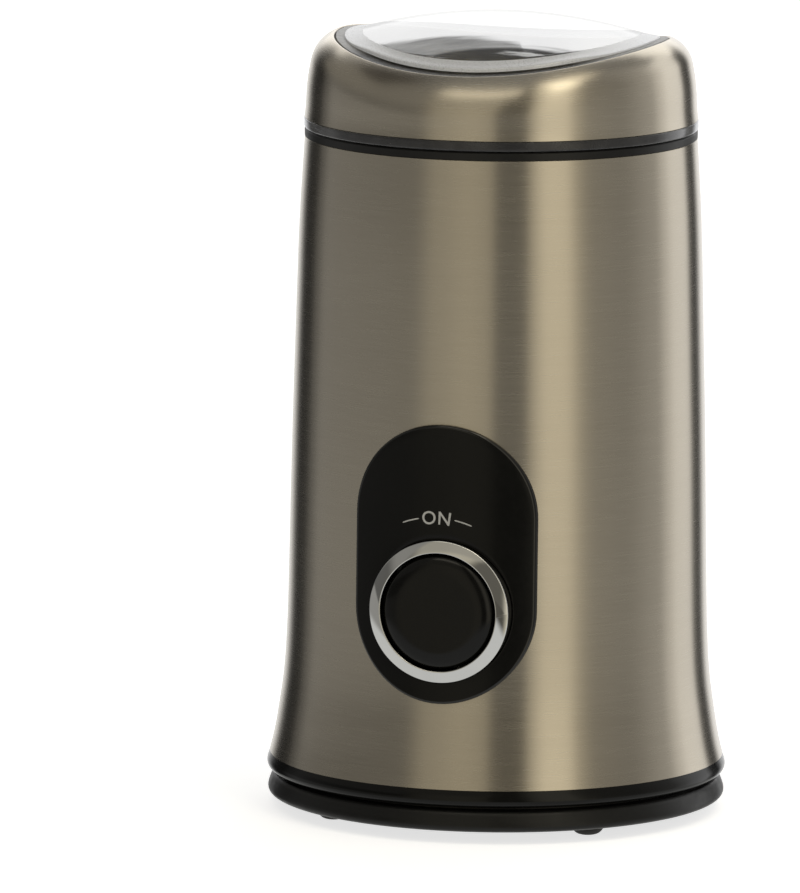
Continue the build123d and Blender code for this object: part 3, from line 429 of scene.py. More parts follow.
# ------------------------------------------------------------ curve helpers
def natural_spline(pts):
    """Natural cubic spline through pts with chord-length parameter.
    Returns f(t) and the parameter values of the points."""
    P = np.array(pts, float)
    d = np.hypot(*np.diff(P, axis=0).T)
    t = np.concatenate([[0], np.cumsum(d)])
    n = len(P)
    A = np.eye(n)
    B = np.zeros_like(P)
    for i in range(1, n - 1):
        A[i, i - 1], A[i, i], A[i, i + 1] = d[i - 1], 2 * (d[i - 1] + d[i]), d[i]
        B[i] = 6 * ((P[i + 1] - P[i]) / d[i] - (P[i] - P[i - 1]) / d[i - 1])
    M = np.linalg.solve(A, B)

    def f(u):
        u = np.atleast_1d(np.asarray(u, float))
        k = np.clip(np.searchsorted(t, u, side="right") - 1, 0, n - 2)
        h = d[k][:, None]
        a, b = (t[k + 1] - u)[:, None], (u - t[k])[:, None]
        return (M[k] * a ** 3 + M[k + 1] * b ** 3) / (6 * h) + (P[k] / h - M[k] * h / 6) * a + (P[k + 1] / h - M[k + 1] * h / 6) * b

    return f, t


def through(pts, per=6):
    """Smooth open polyline through pts."""
    f, t = natural_spline(pts)
    u = np.concatenate([np.linspace(a, b, per, endpoint=False) for a, b in zip(t, t[1:])] + [[t[-1]]])
    return [tuple(p) for p in f(u)]


def rounded(pts, radius, seg=5, closed=True, only=None):
    """Polygon with its corners rounded.  radius is one number or one for each point."""
    P = [np.array(p, float) for p in pts]
    n = len(P)
    out = []
    for i, p in enumerate(P):
        r = radius[i] if isinstance(radius, (list, tuple)) else radius
        if (not closed and i in (0, n - 1)) or r <= 0:
            out.append(tuple(p))
            continue
        a, b = P[i - 1] - p, P[(i + 1) % n] - p
        la, lb = np.hypot(*a), np.hypot(*b)
        a, b = a / la, b / lb
        ang = math.acos(max(-1, min(1, float(a @ b))))
        if ang > math.radians(172):
            out.append(tuple(p))
            continue
        cut = min(r / math.tan(ang / 2), 0.45 * la, 0.45 * lb)
        rr = cut * math.tan(ang / 2)
        s, e = p + a * cut, p + b * cut
        c = p + (a + b) / np.hypot(*(a + b)) * (rr / math.sin(ang / 2))
        a0 = math.atan2(*(s - c)[::-1])
        a1 = math.atan2(*(e - c)[::-1])
        dlt = (a1 - a0 + PI) % (2 * PI) - PI
        for k in range(seg + 1):
            q = a0 + dlt * k / seg
            out.append((c[0] + rr * math.cos(q), c[1] + rr * math.sin(q)))
    return out


# ------------------------------------------------------------- mesh helpers
def add_object(name, verts, faces, mats, mat_index=None, normals=None, sharp=38.0):
    """Mesh object in metres from millimetre points, smooth, with sharp edges by angle."""
    me = bpy.data.meshes.new(name)
    me.from_pydata([tuple(v) for v in (np.asarray(verts, float) * MM).tolist()], [], [tuple(int(i) for i in f) for f in faces])
    me.update()
    for m in (mats if isinstance(mats, (list, tuple)) else [mats]):
        me.materials.append(m)
    if mat_index is not None:
        me.polygons.foreach_set("material_index", np.asarray(mat_index, np.int32))
    me.polygons.foreach_set("use_smooth", np.ones(len(me.polygons), bool))
    if sharp:
        me.set_sharp_from_angle(angle=math.radians(sharp))
    if normals is not None:
        me.normals_split_custom_set([tuple(n) for n in np.asarray(normals, float)])
    me.validate()
    ob = bpy.data.objects.new(name, me)
    bpy.context.scene.collection.objects.link(ob)
    return ob


def lathe_data(prof, n=192, axis="Z", at=(0.0, 0.0), closed=True, start=0.0):
    """Vertices, faces and loop normals of a profile turned round an axis.
    prof is (r, h), anticlockwise with r to the right, and at is the axis position."""
    prof = [(max(0.0, float(r)), float(h)) for r, h in prof]
    if closed and np.hypot(prof[0][0] - prof[-1][0], prof[0][1] - prof[-1][1]) < 1e-9:
        prof = prof[:-1]
    m = len(prof)
    spans = [(i, (i + 1) % m) for i in range(m if closed else m - 1)]
    P = np.array(prof)
    # a span's normal, and smooth normals where neighbouring spans nearly agree
    sn = []
    for i, j in spans:
        d = P[j] - P[i]
        L = np.hypot(*d)
        sn.append(np.array([d[1], -d[0]]) / L if L > 1e-9 else np.array([1.0, 0.0]))
    sn = np.array(sn)
    length = np.array([np.hypot(*(P[j] - P[i])) for i, j in spans])
    ends = np.zeros((len(spans), 2, 2))
    for k, (i, j) in enumerate(spans):
        for e in (0, 1):
            o = (k - 1) % len(spans) if e == 0 else (k + 1) % len(spans)
            if not closed and ((e == 0 and k == 0) or (e == 1 and k == len(spans) - 1)):
                ends[k, e] = sn[k]
                continue
            if sn[k] @ sn[o] > math.cos(math.radians(35)):
                # the longer span is the flatter one and keeps its own normal
                wa, wb = length[k], length[o]
                if wa > 4 * wb:
                    wa, wb = 1.0, 0.0
                elif wb > 4 * wa:
                    wa, wb = 0.0, 1.0
                v = sn[k] * wa + sn[o] * wb
                if wa * wb > 0:
                    v = sn[k] * wb + sn[o] * wa
                ends[k, e] = v / np.hypot(*v)
            else:
                ends[k, e] = sn[k]
    th = start + np.arange(n) * 2 * PI / n
    ct, st = np.cos(th), np.sin(th)

    def place(r, h, c, s):
        if axis == "Z":
            return (at[0] + r * c, at[1] + r * s, h)
        return (at[0] + r * c, h, at[1] - r * s)      # round a line along Y

    def turn(v, c, s):
        if axis == "Z":
            return (v[0] * c, v[0] * s, v[1])
        return (v[0] * c, v[1], -v[0] * s)

    verts, idx = [], []
    for r, h in prof:
        if r < 1e-6:
            idx.append([len(verts)] * n)
            verts.append(place(0, h, 1, 0))
        else:
            idx.append(list(range(len(verts), len(verts) + n)))
            verts.extend(place(r, h, c, s) for c, s in zip(ct, st))
    faces, norms = [], []
    for k, (i, j) in enumerate(spans):
        if prof[i][0] < 1e-6 and prof[j][0] < 1e-6:
            continue
        n0, n1 = ends[k]
        for q in range(n):
            w = (q + 1) % n
            a, d, c, b = idx[i][q], idx[i][w], idx[j][w], idx[j][q]
            na, nd = turn(n0, ct[q], st[q]), turn(n0, ct[w], st[w])
            nc, nb = turn(n1, ct[w], st[w]), turn(n1, ct[q], st[q])
            if a == d:
                faces.append((a, c, b))
                norms += [na, nc, nb]
            elif b == c:
                faces.append((a, d, b))
                norms += [na, nd, nb]
            else:
                faces.append((a, d, c, b))
                norms += [na, nd, nc, nb]
    return verts, faces, norms


def lathe(name, prof, mats, n=192, axis="Z", at=(0.0, 0.0), mat_of=None, closed=True):
    v, f, nn = lathe_data(prof, n, axis, at, closed)
    mi = None
    if mat_of is not None:
        V = np.array(v)
        mi = [mat_of(V[list(q)].mean(0)) for q in f]
    return add_object(name, v, f, mats, mi, nn, sharp=None)


def swept(name, sections, mats, mat_rows=None, open_ends=False, sharp=38.0):
    """Mesh from one closed section for each step round the axis: sections[j] is
    an (m, 3) array.  With open_ends the section is open and its first and last
    points are single points on the axis."""
    S = np.array(sections, float)
    n, m, _ = S.shape
    verts, faces, mi = [], [], []
    if not open_ends:
        verts = S.reshape(-1, 3)
        for j in range(n):
            k = (j + 1) % n
            for i in range(m):
                h = (i + 1) % m
                faces.append((j * m + i, k * m + i, k * m + h, j * m + h))
                mi.append(mat_rows[i] if mat_rows else 0)
    else:
        inner = m - 2
        verts = [S[0, 0], S[0, -1]] + [p for j in range(n) for p in S[j, 1:-1]]
        at = lambda j, i: 0 if i == 0 else (1 if i == m - 1 else 2 + j * inner + i - 1)
        for j in range(n):
            k = (j + 1) % n
            for i in range(m - 1):
                f = [at(j, i), at(k, i), at(k, i + 1), at(j, i + 1)]
                f2 = []
                for q in f:
                    if q not in f2:
                        f2.append(q)
                faces.append(tuple(f2))
                mi.append(mat_rows[i] if mat_rows else 0)
    return add_object(name, verts, faces, mats, mi if mat_rows else None, None, sharp)


def prism(outline, y0, y1, plane="XZ"):
    """Closed prism data from an outline, along Y (plane XZ) or along Z (plane XY)."""
    n = len(outline)
    if plane == "XZ":
        a = [(x, y0, z) for x, z in outline]
        b = [(x, y1, z) for x, z in outline]
    else:
        a = [(x, y, y0) for x, y in outline]
        b = [(x, y, y1) for x, y in outline]
    verts = a + b
    faces = [tuple(range(n)), tuple(range(2 * n - 1, n - 1, -1))]
    faces += [(i, n + i, n + (i + 1) % n, (i + 1) % n) for i in range(n)]
    return verts, faces


def joined(parts):
    V, F = [], []
    for v, f in parts:
        o = len(V)
        V += list(v)
        F += [tuple(i + o for i in q) for q in f]
    return V, F


def fix_winding(ob):
    import bmesh
    bm = bmesh.new()
    bm.from_mesh(ob.data)
    bmesh.ops.recalc_face_normals(bm, faces=bm.faces)
    bm.to_mesh(ob.data)
    bm.free()
    ob.data.update()
    return ob


def boolean(ob, verts, faces, op):
    """ob's mesh combined with another closed mesh, applied."""
    tool = add_object("tool", verts, faces, [], sharp=None)
    fix_winding(tool)
    mod = ob.modifiers.new("cut", "BOOLEAN")
    mod.operation, mod.object, mod.solver = op, tool, "EXACT"
    dg = bpy.context.evaluated_depsgraph_get()
    me = bpy.data.meshes.new_from_object(ob.evaluated_get(dg), depsgraph=dg)
    ob.modifiers.clear()
    old, name = ob.data, ob.data.name
    ob.data = me
    bpy.data.meshes.remove(old)
    me.name = name
    t = tool.data
    bpy.data.objects.remove(tool)
    bpy.data.meshes.remove(t)
    return ob


def tidy(ob, merge=1e-6):
    """Merge points that coincide, and drop degenerate faces."""
    import bmesh
    bm = bmesh.new()
    bm.from_mesh(ob.data)
    bmesh.ops.remove_doubles(bm, verts=bm.verts, dist=merge)
    bmesh.ops.dissolve_degenerate(bm, dist=merge * 0.5, edges=bm.edges)
    bm.to_mesh(ob.data)
    bm.free()
    ob.data.update()
    return ob


def shade(ob, angle=38.0, weighted=True):
    me = ob.data
    me.polygons.foreach_set("use_smooth", np.ones(len(me.polygons), bool))
    me.set_sharp_from_angle(angle=math.radians(angle))
    if weighted:
        w = ob.modifiers.new("weighted", "WEIGHTED_NORMAL")
        w.keep_sharp = True
        w.weight = 90
    return ob


def finish_piece(ob, body, slot, *nodes):
    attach(ob, body)
    if nodes:
        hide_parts(*nodes)
    return ob


def cyl_z(r, z0, z1, x=0.0, y=0.0, n=48):
    o = [(x + r * math.cos(2 * PI * i / n), y + r * math.sin(2 * PI * i / n)) for i in range(n)]
    return prism(o, z0, z1, "XY")


def cyl_y(r, y0, y1, x=0.0, z=0.0, n=48):
    o = [(x + r * math.cos(2 * PI * i / n), z + r * math.sin(2 * PI * i / n)) for i in range(n)]
    return prism(o, y0, y1, "XZ")


# --------------------------------------------------------------- dimensions
BODY_PROFILE = [(53.40, 12.70), (52.55, 16.25), (51.86, 19.85), (51.12, 24.64), (50.42, 29.60), (49.70, 38.50),
                (49.12, 58.00), (48.60, 86.75), (48.12, 105.80), (47.60, 124.75), (46.92, 143.70), (46.36, 153.20),
                (46.00, 159.00)]
CAP_PROFILE = [(46.10, 163.4), (45.92, 165.0), (45.64, 169.7), (45.09, 174.4), (44.62, 176.9), (44.20, 180.0),
               (43.70, 185.0), (43.2, 190.0)]
CREST_Z, SADDLE = 180.45, 2.6 / 39.15 ** 2
CAP_HOLE_R, CAP_T = 39.2, 0.7
DOME_R, DOME_TOP = 32.4, 188.2
KD, SD = 6.0 / DOME_R ** 2, 1.6 / DOME_R ** 2
PLATE_W, PLATE_H, PLATE_ZC, PLATE_PROUD = 43.6, 65.2, 64.9, 0.9
BTN_Z = 54.0

_bf, _bt = natural_spline(BODY_PROFILE)
_bu = np.linspace(_bt[0], _bt[-1], 1400)
_bp = _bf(_bu)
_bslope = np.gradient(_bp[:, 0], _bp[:, 1])


def r_body(z):
    return np.interp(z, _bp[:, 1], _bp[:, 0])


def body_slope(z):
    return np.interp(z, _bp[:, 1], _bslope)


# ------------------------------------------------------------- steel sleeve
def make_sleeve():
    zs = _bf(np.concatenate([np.linspace(_bt[0], _bt[4], 34, endpoint=False), np.linspace(_bt[4], _bt[-1], 76)]))
    outer = [tuple(p) for p in zs]
    t = 0.6
    inner = [(r - t, z) for r, z in outer][::-1]
    # softened edges at the top and bottom of the sheet
    prof = outer[:-1] + [(outer[-1][0], 158.86), (outer[-1][0] - 0.14, 159.0), (outer[-1][0] - 0.46, 159.0)] + inner[1:-1]
    prof += [(outer[0][0] - 0.5, 12.70)]
    v, f, nn = lathe_data(prof, 288)
    ob = add_object("outer_sleeve", v, f, [MAT["brushed_steel"]], None, None, None)
    w, h = (PLATE_W - 3.0) / 2, (PLATE_H - 3.0) / 2
    s = h - w
    n = 40
    out = [(w * math.cos(PI * i / n), PLATE_ZC + s + w * math.sin(PI * i / n)) for i in range(n + 1)]
    out += [(-w * math.cos(PI * i / n), PLATE_ZC - s - w * math.sin(PI * i / n)) for i in range(n + 1)]
    pv, pf = prism(out, -60, -20)
    boolean(ob, pv, pf, "DIFFERENCE")
    me = ob.data
    # exact normals: the wall's own slope on both faces, flat ones on the cut edges
    co = np.array([q.co for q in me.vertices]) / MM
    r = np.hypot(co[:, 0], co[:, 1])
    sl = body_slope(co[:, 2])
    N = np.stack([co[:, 0] / r, co[:, 1] / r, -sl], 1)
    N /= np.linalg.norm(N, axis=1)[:, None]
    ro = r_body(co[:, 2])
    res = np.zeros((len(me.loops), 3))
    for p in me.polygons:
        pn = np.array(p.normal)
        for li in p.loop_indices:
            k = me.loops[li].vertex_index
            d = float(pn @ N[k])
            if d > 0.9 and abs(r[k] - ro[k]) < 0.05:
                res[li] = N[k]
            elif d < -0.9:
                res[li] = -N[k]
            else:
                res[li] = pn
    me.polygons.foreach_set("use_smooth", np.ones(len(me.polygons), bool))
    me.normals_split_custom_set([tuple(x) for x in res])
    finish_piece(ob, "root", "brushed_steel", "body_sleeve")
    return ob


make_sleeve()


# ------------------------------------------------------------ lid: sections
_cf, _ct = natural_spline(CAP_PROFILE)
_cu = np.linspace(_ct[0], _ct[-1], 900)
_cp = _cf(_cu)


def wall_r(z):
    return float(np.interp(z, _cp[:, 1], _cp[:, 0]))


def crest(r, c2):
    return CREST_Z + SADDLE * c2 * r * r


def offset_line(P, d):
    """P moved by d to the left of its direction."""
    P = np.array(P, float)
    T = np.gradient(P, axis=0)
    T /= np.maximum(np.hypot(T[:, 0], T[:, 1]), 1e-9)[:, None]
    return P + d * np.stack([-T[:, 1], T[:, 0]], 1)


def wall_at(z):
    r = wall_r(z)
    sl = (wall_r(z + 0.05) - wall_r(z - 0.05)) / 0.1
    n = np.array([1.0, -sl])
    return np.array([r, z]), n / np.hypot(*n)


def shoulder_arc(c2):
    """Arc that leaves the wall smoothly and meets the edge of the opening:
    centre, radius, angle at the wall and at the edge, height where it leaves."""
    rad = 9.4 - 1.6 * c2
    edge = np.array([CAP_HOLE_R, crest(CAP_HOLE_R, c2)])
    lo, hi = edge[1] - rad - 2.0, edge[1] - 0.5
    for _ in range(40):
        mid = 0.5 * (lo + hi)
        pw, nw = wall_at(mid)
        if np.hypot(*(edge - (pw - rad * nw))) > rad:
            lo = mid
        else:
            hi = mid
    pw, nw = wall_at(lo)
    c = pw - rad * nw
    return c, rad, math.atan2(nw[1], nw[0]), math.atan2(edge[1] - c[1], edge[0] - c[0]), lo


def shoulder(c2, inset, n_wall=14, n_arc=18, n_top=8, r_in=CAP_HOLE_R, z_from=163.4):
    """(r, z) line up the cap's wall, over the shoulder and in along the crest,
    moved in by inset, for a direction with cos(2 theta) = c2."""
    c, rad, a0, a1, zw = shoulder_arc(c2)
    rr = rad - inset
    if r_in > c[0] + rr * math.cos(a1):
        a1 = math.acos((r_in - c[0]) / rr)
    line = []
    zz = np.linspace(z_from, zw, n_wall + 1)
    for z in zz[:-1]:
        p, nrm = wall_at(z)
        line.append(p - inset * nrm if z > zz[0] else np.array([p[0] - inset, z]))
    for k in range(n_arc + 1):
        q = a0 + (a1 - a0) * k / n_arc
        line.append(c + rr * np.array([math.cos(q), math.sin(q)]))
    if r_in < line[-1][0] - 1e-6:
        for r in np.linspace(line[-1][0], r_in, n_top + 1)[1:]:
            sl = 2 * SADDLE * c2 * r
            n = np.array([-sl, 1.0]) / math.hypot(sl, 1.0)
            line.append(np.array([r, crest(r, c2)]) - inset * n)
    return np.array(line)


def make_cap():
    n = 256
    bend = 0.45       # the edge of the opening turns down over this radius
    secs = []
    for j in range(n):
        th = 2 * PI * j / n
        c2 = math.cos(2 * th)
        c, rad, a0, a1, zw = shoulder_arc(c2)
        qs = math.acos((CAP_HOLE_R + bend - c[0]) / (rad - bend))
        up = shoulder(c2, 0.0, r_in=c[0] + rad * math.cos(qs))
        rc = c + (rad - bend) * np.array([math.cos(qs), math.sin(qs)])
        arc = [(rc[0] + bend * math.cos(q), rc[1] + bend * math.sin(q)) for q in np.linspace(qs, PI, 10)[1:]]
        zt = rc[1]
        down = [(CAP_HOLE_R, zt - 0.25), (CAP_HOLE_R + 0.02, zt - 0.44), (CAP_HOLE_R + 0.15, zt - 0.5)]
        under_e = [(CAP_HOLE_R + CAP_T - 0.1, zt - 0.5), (CAP_HOLE_R + CAP_T, zt - 0.42), (CAP_HOLE_R + CAP_T + 0.02, zt - 0.36)]
        inn = shoulder(c2, CAP_T, r_in=CAP_HOLE_R + bend + 0.25)[::-1]
        low = [(46.10 - CAP_T + 0.1, 163.4), (46.10 - 0.12, 163.4)]
        first = [(46.095, 163.52)]
        line = first + [tuple(p) for p in up[1:]] + arc + down + under_e + [tuple(p) for p in inn[:-1]] + [(46.10 - CAP_T, 163.52)] + low
        L = np.array(line)
        secs.append(np.stack([L[:, 0] * math.cos(th), L[:, 0] * math.sin(th), L[:, 1]], 1))
    ob = swept("lid_shell", secs, [MAT["cap_steel"]], sharp=50.0)
    finish_piece(ob, "lid", "brushed_steel", "lid_cap")
    return ob


make_cap()


def make_window():
    """Clear liner: dome, frosted flange, wall under the cap, rim and skirt."""
    n = 224
    secs, rows = [], None
    for j in range(n):
        th = 2 * PI * j / n
        c2 = math.cos(2 * th)
        dome = lambda r: DOME_TOP - KD * r * r + SD * r * r * c2
        L, M = [], []

        def add(pts, m):
            for p in pts:
                L.append((float(p[0]), float(p[1])))
                M.append(m)

        add([(0.0, dome(0))], 0)
        add([(r, dome(r)) for r in np.linspace(0, DOME_R - 0.5, 23)[1:]], 0)
        # frosted ring sloping down from the dome, then a low channel beside the cap
        zd = dome(DOME_R)
        # (wider and shallower where the opening is high)
        k = min(max((c2 + 0.15) / 0.75, 0.0), 1.0)
        k = k * k * (3 - 2 * k)
        re = 35.45 + 1.15 * k
        off, low, s = 0.74 - 0.44 * k, -0.50 + 0.26 * k, 1 - 0.3 * k
        zb = crest(re, c2) + off
        add([(DOME_R, zd)], 0)
        for t in (0.06, 0.14, 0.26, 0.42, 0.6, 0.8, 1.0):
            add([(DOME_R + (re - DOME_R) * t, zd + (zb - zd) * (t + 0.10 * math.sin(PI * t)))], 1)
        drop = lambda dr, q: (re + dr * s, crest(re + dr * s, c2) + off - q * (off - low))
        add([drop(0.2, 0.09), drop(0.33, 0.25), drop(0.38, 0.45)], 1)
        # the channel takes material 4, whose near-black colour is painted shade
        add([drop(0.45, 0.66), drop(0.72, 0.90)], 4)
        rf = re + 1.1 * s
        add([(r, crest(r, c2) + low) for r in np.linspace(rf, 38.85, 4)], 4)
        add([(39.0, crest(39.0, c2) - 0.60), (39.08, crest(39.1, c2) - 0.85), (39.1, crest(39.1, c2) - 1.62)], 4)
        add([(39.98, crest(40.0, c2) - 1.66)], 3)
        # under the cap
        up = shoulder(c2, CAP_T + 0.05, n_wall=10, n_arc=10, n_top=4, r_in=40.12, z_from=163.9)[::-1]
        add(up[:-1], 3)
        add([(45.32, 163.9), (45.3, 163.36)], 3)
        # lower rim that shows below the cap
        add([(45.9, 163.35), (46.08, 163.32), (46.17, 163.24), (46.2, 163.1), (46.2, 162.6), (46.2, 162.0), (46.2, 161.45),
             (46.16, 161.28), (46.07, 161.18), (45.9, 161.15)], 2)
        add([(44.6, 161.15), (43.35, 161.15), (43.2, 161.0), (43.2, 157.5), (43.2, 153.6), (42.95, 153.25), (42.75, 153.2)], 2)
        add([(42.1, 153.2), (41.85, 153.3), (41.7, 153.6), (41.7, 157.5), (41.7, 162.7), (42.2, 163.1), (43.7, 163.9)], 2)
        inn = shoulder(c2, CAP_T + 0.05 + 1.5, n_wall=10, n_arc=10, n_top=6, r_in=34.2, z_from=164.0)
        add(inn, 3)
        add([(33.8, crest(33.8, c2) - 1.9), (33.3, crest(33.3, c2) - 1.3), (32.9, dome(32.9) - 2.15)], 3)
        add([(r, dome(r) - 1.7) for r in np.linspace(DOME_R - 0.2, 0, 21)[:-1]], 3)
        add([(0.0, DOME_TOP - 1.7)], 3)
        A = np.array(L)
        secs.append(np.stack([A[:, 0] * math.cos(th), A[:, 0] * math.sin(th), A[:, 1]], 1))
        rows = M
    # the section runs from the axis outwards on top, so its direction is turned for outward faces
    secs = [s[::-1] for s in secs]
    mrow = rows[::-1][1:] + [0]
    ob = swept("lid_window", secs, [MAT["smoked_clear"], MAT["frosted"], MAT["rim"], MAT["clear_inner"], MAT["channel"]], mrow, open_ends=True, sharp=50.0)
    # tab that presses the interlock rod
    tv, tf = prism([(-3.2, 38.2), (3.2, 38.2), (3.2, 42.2), (2.6, 42.4), (-2.6, 42.4), (-3.2, 42.2)], 153.2, 158.6, "XY")
    boolean(ob, tv, tf, "UNION")
    shade(ob, 50.0, weighted=False)
    finish_piece(ob, "lid", "smoked_clear", "lid_liner")
    return ob


make_window()


# ------------------------------------------------------------ control plate
def stadium_outline(w, h, zc, n_arc=44, n_side=8, grow=0.0):
    """Points and inward normals of an upright stadium, anticlockwise seen from the front (x right, z up)."""
    r, s = w / 2 + grow, (h - w) / 2
    P, N = [], []
    for i in range(n_arc + 1):
        a = PI * i / n_arc
        P.append((r * math.cos(a), zc + s + r * math.sin(a)))
        N.append((-math.cos(a), -math.sin(a)))
    for i in range(1, n_side):
        P.append((-r, zc + s - 2 * s * i / n_side))
        N.append((1, 0))
    for i in range(n_arc + 1):
        a = PI + PI * i / n_arc
        P.append((r * math.cos(a), zc - s + r * math.sin(a)))
        N.append((-math.cos(a), -math.sin(a)))
    for i in range(1, n_side):
        P.append((r, zc - s + 2 * s * i / n_side))
        N.append((-1, 0))
    return np.array(P), np.array(N)


def on_body(x, z, h):
    """y of the front surface h outside the steel body at (x, z)."""
    return -math.sqrt(max(0.0, (float(r_body(z)) + h) ** 2 - x * x))


def make_plate():
    P, N = stadium_outline(PLATE_W, PLATE_H, PLATE_ZC)
    secs = []
    e = 0.65          # edge rounding
    for p, nn in zip(P, N):
        v = p - np.array([0.0, BTN_Z])
        u = v / np.hypot(*v)
        C = np.array([0.0, BTN_Z]) + 16.75 * u
        S = []
        # bore for the ring, front to back along the wall of the well
        for rr, y in ((17.3, -45.5), (17.3, -43.6), (15.35, -43.6), (15.35, -46.9), (16.75, -46.9)):
            q = np.array([0.0, BTN_Z]) + rr * u
            S.append((q[0], y, q[1]))
        q = C
        S.append((q[0], on_body(q[0], q[1], PLATE_PROUD) + 0.25, q[1]))
        q = C + 0.08 * u
        S.append((q[0], on_body(q[0], q[1], PLATE_PROUD) + 0.07, q[1]))
        q0 = C + 0.25 * u
        q1 = p + nn * e
        for t in np.linspace(0, 1, 15):
            q = q0 + (q1 - q0) * t
            S.append((q[0], on_body(q[0], q[1], PLATE_PROUD), q[1]))
        for a in np.linspace(0, PI / 2, 7)[1:]:
            d = e * (1 - math.sin(a))
            h = PLATE_PROUD - e * (1 - math.cos(a))
            q = p + nn * d
            S.append((q[0], on_body(q[0], q[1], h), q[1]))
        S.append((p[0], on_body(p[0], p[1], 0.03), p[1]))
        q = p + nn * 1.78
        S.append((q[0], on_body(q[0], q[1], 0.03), q[1]))
        S.append((q[0], on_body(q[0], q[1], -0.72), q[1]))
        q2 = np.array([0.0, BTN_Z]) + 17.3 * u
        for t in (0.35, 0.7):
            m = q + (q2 - q) * t
            S.append((m[0], on_body(m[0], m[1], -0.72), m[1]))
        S.append((q2[0], min(on_body(q2[0], q2[1], -0.72), -45.6), q2[1]))
        secs.append(S)
    rim = [1 if 21 <= i < 27 else 0 for i in range(len(secs[0]))]
    ob = swept("press_plate", secs, [MAT["black_plastic_plate"], MAT["black_plastic_edge"]], rim, sharp=40.0)
    fix_winding(ob)
    ob.data.set_sharp_from_angle(angle=math.radians(40))
    finish_piece(ob, "root", "black_plastic_gloss", "control_plate")
    return ob


make_plate()


def make_marking():
    """Pad-printed ON between two short arcs, curved round the button, 0.02 mm proud."""
    cu = bpy.data.curves.new("marking_text", "FONT")
    cu.body = "ON"
    cu.align_x = "CENTER"
    cu.size = 4.35
    cu.space_character = 1.12
    cu.resolution_u = 6
    cu.offset = 0.035
    tmp = bpy.data.objects.new("marking_text", cu)
    bpy.context.scene.collection.objects.link(tmp)
    dg = bpy.context.evaluated_depsgraph_get()
    me = bpy.data.meshes.new_from_object(tmp.evaluated_get(dg), depsgraph=dg)
    bpy.data.objects.remove(tmp)
    bpy.data.curves.remove(cu)
    V = [tuple(v.co) for v in me.vertices]
    F = [tuple(p.vertices) for p in me.polygons]
    bpy.data.meshes.remove(me)
    R0 = 74.4 - BTN_Z              # radius of the base line
    pts, faces = [], []

    def bend(x, h):
        a = x / (R0 + 1.5)
        return ((R0 + h) * math.sin(a) - 1.0, BTN_Z + (R0 + h) * math.cos(a))

    def emit(loc, fs):
        o = len(pts)
        pts.extend(bend(x, h) for x, h in loc)
        faces.extend(tuple(i + o for i in f) for f in fs)

    emit([(x, y) for x, y, _ in V], F)
    for sgn in (-1, 1):
        loc, fs = [], []
        xs = np.linspace(4.3, 8.6, 19)
        for x in xs:
            w = 0.15 * math.sqrt(max(0.02, 1 - ((x - 6.45) / 2.17) ** 8))
            loc += [(sgn * x, 1.5 - w), (sgn * x, 1.5 + w)]
        for i in range(len(xs) - 1):
            fs.append((2 * i, 2 * i + 2, 2 * i + 3, 2 * i + 1))
        emit(loc, fs)
    lift, deep = PLATE_PROUD + 0.02, PLATE_PROUD - 0.06
    n = len(pts)
    top = [(x, on_body(x, z, lift), z) for x, z in pts]
    bot = [(x, on_body(x, z, deep), z) for x, z in pts]
    allf = list(faces) + [tuple(i + n for i in f[::-1]) for f in faces]
    count = {}
    for f in faces:
        for a, b in zip(f, f[1:] + f[:1]):
            count[(a, b)] = count.get((a, b), 0) + 1
    for (a, b) in count:
        if (b, a) not in count:
            allf.append((b, a, a + n, b + n))
    ob = add_object("plate_marking", top + bot, allf, [MAT["ink"]], sharp=30.0)
    tidy(ob)
    fix_winding(ob)
    ob.data.set_sharp_from_angle(angle=math.radians(30))
    finish_piece(ob, "root", "grey_plastic")
    return ob


make_marking()

# ------------------------------------------------------------- chrome ring
ring_face = rounded([(16.7, -49.4), (16.7, -50.92), (14.02, -52.02), (13.8, -51.75), (13.8, -50.5)], [0, 0.32, 0.22, 0.12, 0], 6, closed=False)
ring_prof = [(13.8, -46.5), (14.2, -46.3), (14.2, -43.8), (15.3, -43.8), (15.3, -46.88), (16.62, -46.88), (16.7, -46.96)] + ring_face
ob = lathe("press_ring", ring_prof[::1], [MAT["chrome_ring"]], 224, "Y", (0.0, BTN_Z))
fix_winding(ob)
finish_piece(ob, "root", "chrome_ring", "button_ring")

# -------------------------------------------------------------- push button
BR, BE, BF = 13.4, 4.6, -52.8
edge = [(BR - BE + BE * math.sin(a), BF + 2.3 * (1 - math.cos(a))) for a in np.linspace(0, PI / 2, 19)]
prof = [(0.0, BF + 0.02), (4.0, BF + 0.016), (7.0, BF + 0.006)] + edge
prof += [(BR, -48.0), (BR, -43.6), (14.9, -43.5), (15.0, -43.4), (15.0, -42.4), (14.9, -42.3), (11.6, -42.3), (11.6, BF + 2.35), (11.25, BF + 2.0),
         (4.4, BF + 2.0), (4.0, BF + 2.4), (4.0, -46.6), (3.9, -46.5), (2.0, -46.5), (2.0, -33.0), (1.3, -31.95), (0.0, -31.7)]
v, f, nn = lathe_data(prof[::-1], 160, "Y", (0.0, BTN_Z), closed=False)
ob = add_object("press_cap", v, f, [MAT["black_plastic_gloss"]], None, None, 38.0)
fix_winding(ob)
shade(ob, 38.0)
finish_piece(ob, "button", "black_plastic_gloss", "push_button")


